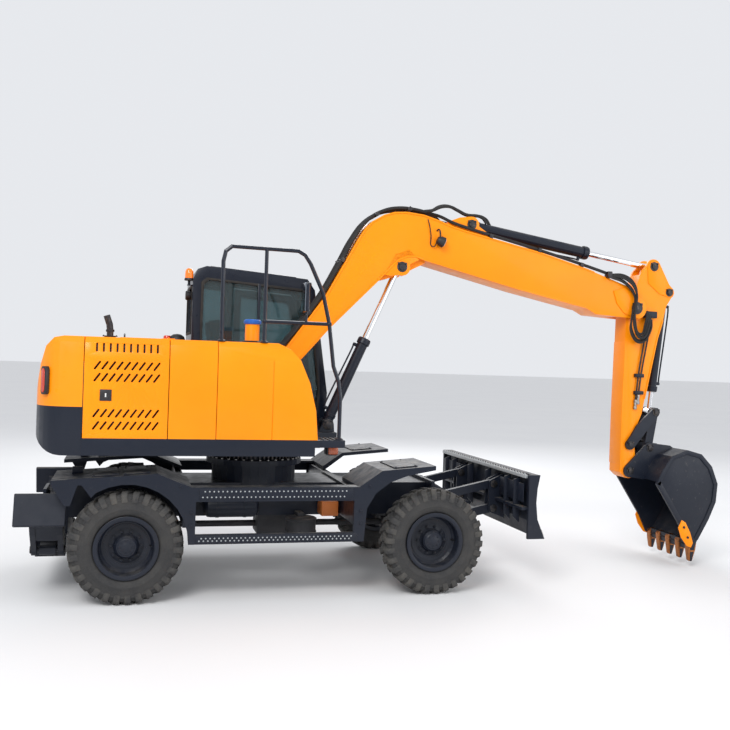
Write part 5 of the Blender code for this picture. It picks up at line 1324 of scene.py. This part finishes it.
class EXCAVATOR_OT_boom(bpy.types.Operator):
    """Boom plates, cheeks, pins and work lamp"""

    bl_idname = "excavator.boom"
    bl_label = "Boom details"
    bl_options = {"REGISTER", "UNDO"}

    TOP = [(-0.075, 1.79), (0.11, 2.042), (0.426, 2.477), (0.723, 3.026), (0.775, 3.11), (0.845, 3.186),
           (0.95, 3.25), (1.05, 3.283), (1.166, 3.292), (1.33, 3.278), (1.476, 3.238), (1.6, 3.195),
           (1.72, 3.165),
           (2.516, 3.005), (3.002, 2.88), (3.09, 2.853)]
    UNDER = [(0.223, 1.914), (0.47, 2.196), (0.896, 2.632)]
    KNEE = [(0.896, 2.632), (1.031, 2.777), (1.1, 2.845), (1.18, 2.883), (1.26, 2.888), (1.334, 2.865)]
    UNDER_FRONT = [(1.334, 2.865), (2.295, 2.643), (3.016, 2.498)]

    def execute(self, context):
        softened("boom", "boom", "boom paint", 0.003)
        half = BOOM_HALF + sizes().flange
        top = strip_along("top_plate", self.TOP, 0.012, half, -1)
        under = [strip_along("under_plate", chain, 0.012, half, 1)
                 for chain in (self.UNDER, self.UNDER_FRONT)]
        for side in (-1, 1):
            knee = strip_along("knee_plate", self.KNEE, 0.012, (half - 0.1505) / 2, 1)
            knee.data.transform(Matrix.Translation((0, side * (half + 0.1505) / 2, 0)))
            under.append(knee)
        done(joined("boom_flanges", [top, *under]), "boom", "boom paint")
        self.cheeks()
        self.pins()
        self.lamp()
        return {"FINISHED"}

    def cheeks(self):
        """Round reinforcement plates at the knee and the tip."""
        parts = []
        for side in (-1, 1):
            ys = sided(side, BOOM_HALF - 0.001, BOOM_HALF + 0.01)
            tip = [(3.3, 2.68), (3.34, 2.56), (3.42, 2.47), *bow(TIP_PIN, 0.108, range(-80, 61, 20)),
                   (3.52, 2.66), (3.42, 2.72)]
            parts.append(side_prism("tip_cheek", tip, *ys, 0.003))
            knee = [(0.965, 2.705), (1.03, 2.7), *bow(KNEE_PIN, 0.082, range(-110, 21, 26)),
                    (1.3, 2.862), (1.2, 2.955), (1.06, 2.9)]
            ys = sided(side, 0.1, 0.15)
            parts.append(side_prism("knee_cheek", knee, *ys, 0.004))
        done(joined("boom_cheeks", parts), "boom", "boom paint")

    def pins(self):
        parts = pin_pair("tip_pin", TIP_PIN, BOOM_HALF + 0.01, 0.045, 0.006)
        parts += pin_pair("knee_pin", KNEE_PIN, 0.15, 0.036, 0.004)
        parts += pin_pair("top_pin", TOP_PIN, 0.1, 0.034, 0.006)
        done(joined("boom_pins", parts), "boom", "dark steel")
        feet = pin_pair("foot_pin", BOOM_FOOT, 0.19, 0.05, 0.006)
        base = pin_pair("base_pin", BOOM_BASE_PIN, 0.095, 0.036, 0.006)
        done(joined("platform_pins", feet + base), "upper", "dark steel")

    def lamp(self):
        """Work lamp on the right of the boom, with its bracket and wire."""
        y = -BOOM_HALF - 0.045
        bracket = tube("lamp_bracket",
                       [at(1.46, -BOOM_HALF + 0.01, 3.14), at(1.47, y, 3.145), at(1.48, y, 3.06)], 0.007)
        shell = lathe("lamp_shell",
                      [(0.0, -0.055), (0.03, -0.05), (0.046, -0.02), (0.05, 0.016), (0.043, 0.02),
                       (0.0, 0.012)],
                      at(1.5, y, 3.035), (0.9, 0, -0.35), 28)
        done(joined("boom_lamp", [bracket, shell]), "boom", "black plastic")
        glass = lathe("boom_lamp_glass", [(0.0, 0.012), (0.042, 0.014), (0.04, 0.023), (0.0, 0.028)],
                      at(1.5, y, 3.035), (0.9, 0, -0.35), 28)
        done(glass, "boom", "lamp glass")
        wire = tube("lamp_wire",
                    [at(1.455, y, 3.045), at(1.42, -BOOM_HALF - 0.016, 2.99), at(1.4, -BOOM_HALF - 0.01, 3.1),
                                  at(1.38, -BOOM_HALF - 0.01, 3.2), at(1.36, -BOOM_HALF + 0.02, 3.285)],
                                  0.005, True, 8)
        done(wire, "boom", "hose rubber")


class EXCAVATOR_OT_hoses(bpy.types.Operator):
    """Hydraulic hoses, pipes and clamps along the boom and the arm"""

    bl_idname = "excavator.hoses"
    bl_label = "Hoses"
    bl_options = {"REGISTER", "UNDO"}

    def execute(self, context):
        self.boom_runs()
        self.foot_runs()
        self.loop()
        self.tip_runs()
        self.arm_pipes()
        return {"FINISHED"}

    def boom_runs(self):
        """Five hoses laid on the boom's back and top, held by clamps."""
        radius = sizes().hose
        chain = [(0.19, 2.15), (0.426, 2.49), (0.6, 2.81), (0.715, 3.035), (0.84, 3.205), (0.96, 3.28),
                 (1.1, 3.315), (1.25, 3.312), (1.36, 3.295)]
        runs = []
        for number, y in enumerate(HOSE_ROWS):
            lift = 0.012 + radius
            points = []
            for (x, z), way in courses(chain):
                normal = Vector((-way.y, way.x))
                points.append(at(x + normal.x * lift, y, z + normal.y * lift - 0.01))
            runs.append(tube(f"boom_hose_{number}", points, radius))
        done(joined("boom_hoses", runs), "boom", "hose rubber")
        clamps = []
        for x, z, tilt in ((0.3, 2.318, -0.95), (0.6, 2.812, -1.06), (0.9, 3.243, -0.55), (1.2, 3.312, 0.0)):
            plate = block("clamp", (-0.022, -0.14, 0.0), (0.022, 0.11, 0.034), 0.006)
            placed(plate, at(x, 0, z), tilt)
            clamps.append(plate)
            for y in (-0.135, 0.0, 0.105):
                bolt = hexagon("clamp_bolt", (0, y, 0.033), UP, 0.008, 0.006)
                placed(bolt, at(x, 0, z), tilt)
                clamps.append(bolt)
        done(joined("boom_hose_clamps", clamps), "boom", "dark steel")

    def foot_runs(self):
        """Hoses that leave the platform and bend up to the boom's back."""
        radius = sizes().hose
        runs = []
        for number, y in enumerate(HOSE_ROWS):
            runs.append(tube(f"foot_hose_{number}", [
                at(-0.3, y, 1.46), at(-0.34, y, 1.62), at(-0.3, y, 1.8), at(-0.15, y, 1.93),
                at(0.02, y, 2.00), at(0.19 - 0.02, y, 2.15 + 0.005)], radius))
        hoses = done(joined("foot_hoses", runs), None, "hose rubber")
        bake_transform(hoses)
        manifold = [block("manifold", at(-0.345, -0.15, 1.262), at(-0.255, 0.12, 1.44), 0.005)]
        for y in HOSE_ROWS:
            manifold.append(hexagon("manifold_nut", at(-0.3, y, 1.436), (-0.15, 0, 1), radius * 1.1, 0.045))
        done(joined("manifold", manifold), "upper", "dark steel")

    def loop(self):
        """The loop that rises over the boom to the arm cylinder's ports."""
        radius = sizes().hose
        runs = []
        ends = ((-0.115, 2.00, -0.03, 3.262), (-0.08, 2.05, 0.012, 3.25))
        for number, (y, x_end, y_end, z_end) in enumerate(ends):
            runs.append(tube(f"loop_{number}", [
                at(1.345, y, 3.318), at(1.42, y - 0.005, 3.332), at(1.5, y - 0.01, 3.368 + 0.01 * number),
                at(1.585, y - 0.01, 3.378 + 0.01 * number), at(1.68, y + 0.01, 3.352 + 0.008 * number),
                at(1.78, y * 0.5, 3.328), at(x_end - 0.05, y_end, 3.315), at(x_end, y_end, z_end)], radius))
        for number, y in enumerate((-0.045, 0.05)):
            runs.append(tube(f"long_{number}", [
                at(1.345, y, 3.318), at(1.5, y, 3.3), at(1.62, y * 2.6, 3.235), at(1.8, y * 2.9, 3.185),
                at(2.3, y * 2.9, 3.078), at(2.8, y * 2.9, 2.962), at(3.1, -0.136 if y < 0 else 0.145, 2.885),
                at(3.26, -0.143 if y < 0 else 0.147, 2.84)], radius))
        runs.append(tube("long_2",
                         [at(1.345, 0.085, 3.318), at(1.46, 0.1, 3.3), at(1.62, 0.11, 3.262),
                          at(1.8, 0.095, 3.262),
                                    at(1.92, 0.078, 3.268), at(1.98, 0.058, 3.262)], radius))
        done(joined("loop_hoses", runs), "boom", "hose rubber")
        clamps = []
        for x, z in ((2.0, 3.12), (2.5, 3.02), (2.95, 2.905)):
            for y in (-0.136, 0.145):
                plate = block("clamp", (-0.018, y - 0.026, -0.012), (0.018, y + 0.026, 0.03), 0.005)
                placed(plate, at(x, 0, z), 0.23)
                clamps.append(plate)
        done(joined("top_clamps", clamps), "boom", "dark steel")

    def tip_runs(self):
        """Hoses that hang in a bow from the boom's tip to the pipes on the arm."""
        radius = sizes().small_hose
        runs = []
        for number in range(5):
            y = -0.172 - 0.014 * (number % 3)
            drop = 0.035 * number
            runs.append(tube(f"tip_hose_{number}", [
                at(3.24, -0.143 - 0.008 * number, 2.838 - 0.006 * number), at(3.42, y, 2.83 - drop * 0.6),
                at(3.52, y - 0.01, 2.74 - drop), at(3.535 - 0.012 * number, y - 0.012, 2.58 - drop),
                at(3.53 - 0.01 * number, y - 0.01, 2.4 - drop), at(3.6, y, 2.27 - drop * 0.6),
                at(3.66 + 0.012 * number, y + 0.01, 2.38 - drop * 0.5),
                at(3.69 + 0.012 * number, -0.14, 2.5 - drop * 0.6)],
                radius))
        hoses = done(joined("tip_hoses", runs), None, "hose rubber")
        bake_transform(hoses)
        plate = block("tip_clamp", at(3.215, -0.19, 2.8), at(3.265, -0.118, 2.865), 0.006)
        block_left = block("tip_block", at(3.235, 0.12, 2.78), at(3.29, 0.17, 2.862), 0.006)
        nuts = [hexagon("block_nut", at(3.238, 0.147, 2.846), (-1, 0, 0.25), 0.02, 0.022)]
        done(joined("tip_clamp", [plate, block_left, *nuts]), "boom", "dark steel")

    def arm_pipes(self):
        """Steel pipes and clips down the arm's right side."""
        pipes, clips = [], []
        for number in range(2):
            y = -ARM_HALF - 0.018
            x_top, x_low = 3.7 + 0.035 * number, 3.6 + 0.03 * number
            pipes.append(tube(f"arm_pipe_{number}", [
                at(x_top, y, 2.47), at(x_top - 0.01, y, 2.3), at(x_low + 0.03, y, 1.9),
                at(x_low, y, 1.6 + 0.05 * number)], 0.008))
        for z in (1.86, 1.69):
            clips.append(block("pipe_clip", at(3.585, -ARM_HALF - 0.03, z - 0.018),
                               at(3.685, -ARM_HALF + 0.004, z + 0.018), 0.005))
        low, high = at(3.665, -ARM_HALF - 0.045, 2.435), at(3.8, -ARM_HALF + 0.004, 2.5)
        clips.append(block("port_block", low, high, 0.006))
        coupler = []
        for number in range(2):
            low = at(3.6 + 0.03 * number, -ARM_HALF - 0.018, 1.6 + 0.05 * number)
            coupler.append(hexagon("coupler", low + Vector((0, 0, 0.02)), (-0.02, 0, -1), 0.017, 0.03))
            coupler.append(post("coupler_body", low + Vector((0, 0, -0.004)),
                                low + Vector((-0.001, 0, -0.055)), 0.014, 20, 0.003))
            coupler.append(post("coupler_cap", low + Vector((-0.001, 0, -0.045)),
                                low + Vector((-0.002, 0, -0.075)), 0.018, 20, 0.004))
        done(joined("arm_couplers", coupler), "arm", "bare steel")
        done(joined("arm_pipes", pipes), "arm", "dark steel")
        done(joined("arm_clips", clips), "arm", "navy paint")


class EXCAVATOR_OT_arm(bpy.types.Operator):
    """Arm plates, bosses and pins"""

    bl_idname = "excavator.arm"
    bl_label = "Arm details"
    bl_options = {"REGISTER", "UNDO"}

    FRONT = [(3.466, 0.98), (3.466, 1.477), (3.478, 2.19)]
    BACK = [(3.895, 2.42), (3.838, 2.236), (3.761, 1.857), (3.716, 1.63)]

    def execute(self, context):
        softened("arm", "arm", "boom paint", 0.003)
        half = ARM_HALF + sizes().flange
        front = strip_along("front_plate", self.FRONT, 0.01, half, -1)
        back = []
        for ys in ((-half, -0.07), (0.07, half)):
            outline = [(x + 0.003, z) for x, z in self.BACK] + [(x - 0.012, z) for x,
                                                                z in reversed(self.BACK)]
            back.append(side_prism("back_plate", outline, *ys, 0.002))
        done(joined("arm_flanges", [front, *back]), "arm", "boom paint")
        self.bosses()
        return {"FINISHED"}

    def bosses(self):
        plates = []
        for side in (-1, 1):
            ys = sided(side, ARM_HALF - 0.001, ARM_HALF + 0.008)
            tail = [(3.71, 2.78), (3.7, 2.95), (3.735, 3.005), (3.8, 3.005), (3.845, 2.96), (3.93, 2.8),
                    (3.985, 2.74), (3.995, 2.68), (3.95, 2.65), (3.84, 2.68)]
            plates.append(side_prism("tail_plate", tail, *ys, 0.003))
            foot = [(3.485, 0.9), (3.52, 0.86), (3.59, 0.86), (3.625, 0.91), (3.6, 1.02), (3.5, 1.02)]
            ys = sided(side, ARM_HALF - 0.001, ARM_HALF + 0.004)
            plates.append(side_prism("foot_plate", foot, *ys, 0.002))
        done(joined("arm_plates", plates), "arm", "boom paint")
        pins = pin_pair("tail_pin", TAIL_PIN, ARM_HALF + 0.008, 0.034, 0.005)
        pins += pin_pair("ear_pin", EAR_PIN, ARM_HALF + 0.008, 0.03, 0.005)
        done(joined("arm_pins", pins), "arm", "dark steel")


class EXCAVATOR_OT_cylinders(bpy.types.Operator):
    """Glands, ports, pipes and rod seals of the cylinders"""

    bl_idname = "excavator.cylinders"
    bl_label = "Cylinder details"
    bl_options = {"REGISTER", "UNDO"}

    def execute(self, context):
        data = (
            ("boom", BOOM_BASE_PIN, KNEE_PIN, 0.86, 0.05, -1),
            ("arm", TOP_PIN, TAIL_PIN, 1.27, 0.055, 1),
            ("bucket", EAR_PIN, ROCKER_TOP, 1.0, 0.044, -1),
        )
        for name, base, eye, length, radius, port_side in data:
            self.dress(name, base, eye, length, radius, port_side)
        return {"FINISHED"}

    def dress(self, name, base, eye, length, radius, port_side):
        start, end = at(base[0], 0, base[1]), at(eye[0], 0, eye[1])
        way = (end - start).normalized()
        across = Vector((0, 1, 0)).cross(way) * port_side
        rim = radius + 0.011
        ring = lathe("gland", [(radius + 0.0062, length - 0.055), (rim, length - 0.052),
                               (rim, length - 0.012),
                               (radius + 0.006, length + 0.002), (radius + 0.0062, length - 0.004)],
                     start, way, 32)
        weld = lathe("base_ring",
                     [(radius + 0.0005, radius + 0.02), (radius + 0.005, radius + 0.024),
                      (radius + 0.005, radius + 0.05),
                                   (radius + 0.0005, radius + 0.056)], start, way, 32)
        parts = [ring, weld]
        ports = []
        for distance in (radius + 0.085, length - 0.085):
            spot = start + way * distance
            root, mouth = spot + across * (radius - 0.004), spot + across * (radius + 0.022)
            ports.append(post("port", root, mouth, 0.016, 16, 0.002))
            ports.append(hexagon("port_nut", spot + across * (radius + 0.02), across, 0.015, 0.014))
        pipe = tube("side_pipe", [
            start + way * (radius + 0.085) + across * (radius + 0.03),
            start + way * (radius + 0.13) + across * (radius + 0.036),
            start + way * (length - 0.13) + across * (radius + 0.024),
            start + way * (length - 0.088) + across * (radius + 0.026)],
            0.008)
        done(joined(name + "_barrel_fittings", [*parts, *ports, pipe]), name + "_barrel",
             "navy paint")
        seal = lathe(name + "_rod_seal",
                     [(radius * 0.62, length - 0.001), (radius * 0.9, length),
                      (radius * 0.86, length + 0.006),
                                  (radius * 0.64, length + 0.009)], start, way, 32)
        done(seal, name + "_barrel", "bare steel")


class EXCAVATOR_OT_bucket(bpy.types.Operator):
    """Teeth, side cutters, ribs and wear plates of the bucket"""

    bl_idname = "excavator.bucket"
    bl_label = "Bucket details"
    bl_options = {"REGISTER", "UNDO"}

    RIM = [(3.7, 0.82), (3.76, 0.95), (3.86, 1.09), (4.03, 1.15), (4.19, 1.11), (4.31, 0.99), (4.38, 0.82),
           (4.365, 0.64), (4.29, 0.47), (4.175, 0.27)]

    def execute(self, context):
        softened("bucket", "bucket", "bucket paint", 0.002)
        self.teeth()
        self.side_cutters()
        self.ribs()
        self.linkage()
        return {"FINISHED"}

    def teeth(self):
        """Forged points over the adapters, each with its pin."""
        profile = [(4.083, 0.235), (4.098, 0.262), (4.145, 0.266), (4.17, 0.24), (4.163, 0.175),
                   (4.136, 0.066),
                   (4.112, 0.058), (4.1, 0.07), (4.088, 0.16)]
        pitch = (2 * BUCKET_HALF - 0.08) / 4
        points, pins = [], []
        for number in range(5):
            middle = -BUCKET_HALF + 0.04 + number * pitch
            point = side_prism(f"tooth_{number}", profile, middle - 0.034, middle + 0.034, 0.0)
            for vertex in point.data.vertices:
                reach = min(1.0, max(0.0, (0.2 - vertex.co.z) / 0.14))
                vertex.co.y = middle + (vertex.co.y - middle) * (1 - 0.35 * reach)
            rounded(point, 0.004, 2)
            points.append(point)
            for side in (-1, 1):
                spot = at(4.127, middle + side * 0.0345, 0.205)
                pins.append(post("tooth_pin", spot - Vector((0, side * 0.004, 0)),
                                 spot + Vector((0, side * 0.003, 0)), 0.011, 16, 0.001))
        done(joined("bucket_teeth", points), "bucket", "tooth metal")
        done(joined("tooth_pins", pins), "bucket", "dark steel")

    def side_cutters(self):
        """Leaf-shaped plates bolted to both side edges."""
        leaf = [(3.985, 0.47), (4.03, 0.445), (4.085, 0.345), (4.118, 0.245), (4.098, 0.2), (4.052, 0.215),
                (3.985, 0.3), (3.952, 0.395)]
        for side, word in SIDES:
            ys = sided(side, BUCKET_HALF + 0.0005, BUCKET_HALF + 0.014)
            plate = side_prism(word + "_side_cutter", leaf, *ys, 0.004)
            done(plate, "bucket", "boom paint")
            bolts = [hexagon("cutter_bolt", at(x, side * (BUCKET_HALF + 0.013), z), (0, side, 0), 0.013, 0.01)
                     for x, z in ((4.01, 0.4), (4.055, 0.3))]
            done(joined(word + "_cutter_bolts", bolts), "bucket", "dark steel")

    def ribs(self):
        """Raised bands round the side plates and wear strips under the bowl."""
        half_band = 0.022
        for side, word in SIDES:
            ys = sided(side, BUCKET_HALF - 0.001, BUCKET_HALF + 0.007)
            inner = [(x + way.y * 2 * half_band, z - way.x * 2 * half_band) for (x, z),
                     way in courses(self.RIM)]
            band = side_prism(word + "_band", self.RIM + inner[::-1], *ys, 0.002)
            lip = [(3.7, 0.82), (3.742, 0.85), (4.02, 0.43), (3.98, 0.4)]
            edge = side_prism(word + "_edge", lip, *ys, 0.002)
            done(joined(word + "_bucket_bands", [band, edge]), "bucket", "bucket paint")
        strips = []
        chain = self.RIM[5:]
        outer = [(x - way.y * 0.01, z + way.x * 0.01) for (x, z), way in courses(chain)]
        for y in (-0.25, -0.08, 0.08, 0.25):
            strips.append(side_prism("wear_strip", list(chain) + outer[::-1], y - 0.025, y + 0.025, 0.002))
        done(joined("bucket_wear_strips", strips), "bucket", "bucket paint")

    def linkage(self):
        """Pin ends on the rocker and the bucket's ears."""
        for pin, body, y in ((ROCKER_FOOT, "rocker", 0.13), (ROCKER_TOP, "rocker", 0.13),
                             (BUCKET_PIN, "bucket", 0.131), (LINK_PIN, "bucket", 0.131)):
            ends = pin_pair("pin", pin, y, 0.028, 0.005)
            done(joined(f"{body}_pins_{int(pin[1] * 1000)}", ends), body, "dark steel")


class EXCAVATOR_OT_front_lamps(bpy.types.Operator):
    """Turn lamp and step bars at the platform's front"""

    bl_idname = "excavator.front_lamps"
    bl_label = "Front lamps"
    bl_options = {"REGISTER", "UNDO"}

    def execute(self, context):
        shell = block("turn_lamp_shell", at(0.35, -0.76, 1.12), at(0.44, -0.64, 1.2055), 0.01)
        done(shell, "upper", "black plastic")
        glass = joined("turn_lamp_glass", [
            block("lamp_front", at(0.432, -0.752, 1.128), at(0.45, -0.648, 1.19), 0.006),
            block("lamp_side", at(0.362, -0.772, 1.128), at(0.44, -0.754, 1.19), 0.006)])
        done(glass, "upper", "amber lens")
        tread = [block("step_bar", at(0.27 + 0.045 * n, -0.965, 1.264), at(0.285 + 0.045 * n, -0.755, 1.272),
                       0.002) for n in range(4)]
        done(joined("step_bars", tread), "upper", "deck paint")
        return {"FINISHED"}


class EXCAVATOR_OT_stage(bpy.types.Operator):
    """Pale floor, soft lights and the camera"""

    bl_idname = "excavator.stage"
    bl_label = "Stage"
    bl_options = {"REGISTER", "UNDO"}

    def execute(self, context):
        deselect()
        bpy.ops.mesh.primitive_plane_add(size=400.0, location=(0, 0, -0.0005))
        floor = added("floor")
        floor.data.materials.append(finish("floor"))
        for name, place, power, size in LIGHTS:
            data = bpy.data.lights.new(name, "AREA")
            data.energy, data.size = power, size
            lamp = bpy.data.objects.new(name, data)
            bpy.context.scene.collection.objects.link(lamp)
            lamp.location = place
            lamp.rotation_euler = (LIGHT_AIM - Vector(place)).to_track_quat("-Z", "Y").to_euler()
        world = bpy.data.worlds.new("studio")
        world.use_nodes = True
        settings(world.node_tree.nodes["Background"], Color=SKY_COLOUR, Strength=SKY_STRENGTH)
        bpy.context.scene.world = world
        self.camera()
        return {"FINISHED"}

    def camera(self):
        data = bpy.data.cameras.new("camera")
        camera = bpy.data.objects.new("camera", data)
        bpy.context.scene.collection.objects.link(camera)
        level = Vector((math.sin(EYE_YAW), math.cos(EYE_YAW), 0)) * math.cos(EYE_PITCH)
        ahead = level + Vector((0, 0, math.sin(EYE_PITCH)))
        across = ahead.cross(Vector(UP)).normalized()
        upward = across.cross(ahead)
        right = across * math.cos(EYE_ROLL) + upward * math.sin(EYE_ROLL)
        top = upward * math.cos(EYE_ROLL) - across * math.sin(EYE_ROLL)
        matrix = Matrix((right, top, -ahead)).transposed().to_4x4()
        camera.matrix_world = Matrix.Translation(at(*EYE_POINT)) @ matrix
        bpy.context.scene.view_settings.view_transform = "Standard"
        data.sensor_width, data.lens = SENSOR, FOCAL_LENGTH
        bpy.context.scene.camera = camera


class EXCAVATOR_PT_panel(bpy.types.Panel):
    """Lists the builders and their sizes and colours"""

    bl_idname = "EXCAVATOR_PT_panel"
    bl_label = "Wheeled excavator"
    bl_space_type = "VIEW_3D"
    bl_region_type = "UI"
    bl_category = "Excavator"

    def draw(self, context):
        for group in (context.scene.excavator_sizes, context.scene.excavator_colours):
            column = self.layout.column(align=True)
            for key in group.__annotations__:
                column.prop(group, key)
        for operator in OPERATORS:
            self.layout.operator(operator.bl_idname)


OPERATORS = (
    EXCAVATOR_OT_finishes,
    EXCAVATOR_OT_tyres,
    EXCAVATOR_OT_wheels,
    EXCAVATOR_OT_undercarriage,
    EXCAVATOR_OT_dozer_blade,
    EXCAVATOR_OT_body_panels,
    EXCAVATOR_OT_cab,
    EXCAVATOR_OT_rail_and_mirror,
    EXCAVATOR_OT_boom,
    EXCAVATOR_OT_hoses,
    EXCAVATOR_OT_arm,
    EXCAVATOR_OT_cylinders,
    EXCAVATOR_OT_bucket,
    EXCAVATOR_OT_front_lamps,
    EXCAVATOR_OT_stage,
)
CLASSES = (ExcavatorColours, ExcavatorSizes, *OPERATORS, EXCAVATOR_PT_panel)


def register():
    for item in CLASSES:
        bpy.utils.register_class(item)
    bpy.types.Scene.excavator_colours = PointerProperty(type=ExcavatorColours)
    bpy.types.Scene.excavator_sizes = PointerProperty(type=ExcavatorSizes)


def unregister():
    del bpy.types.Scene.excavator_sizes
    del bpy.types.Scene.excavator_colours
    for item in reversed(CLASSES):
        bpy.utils.unregister_class(item)


def main():
    register()
    for operator in OPERATORS:
        group, name = operator.bl_idname.split(".")
        getattr(getattr(bpy.ops, group), name)()


if __name__ == "__main__":
    main()
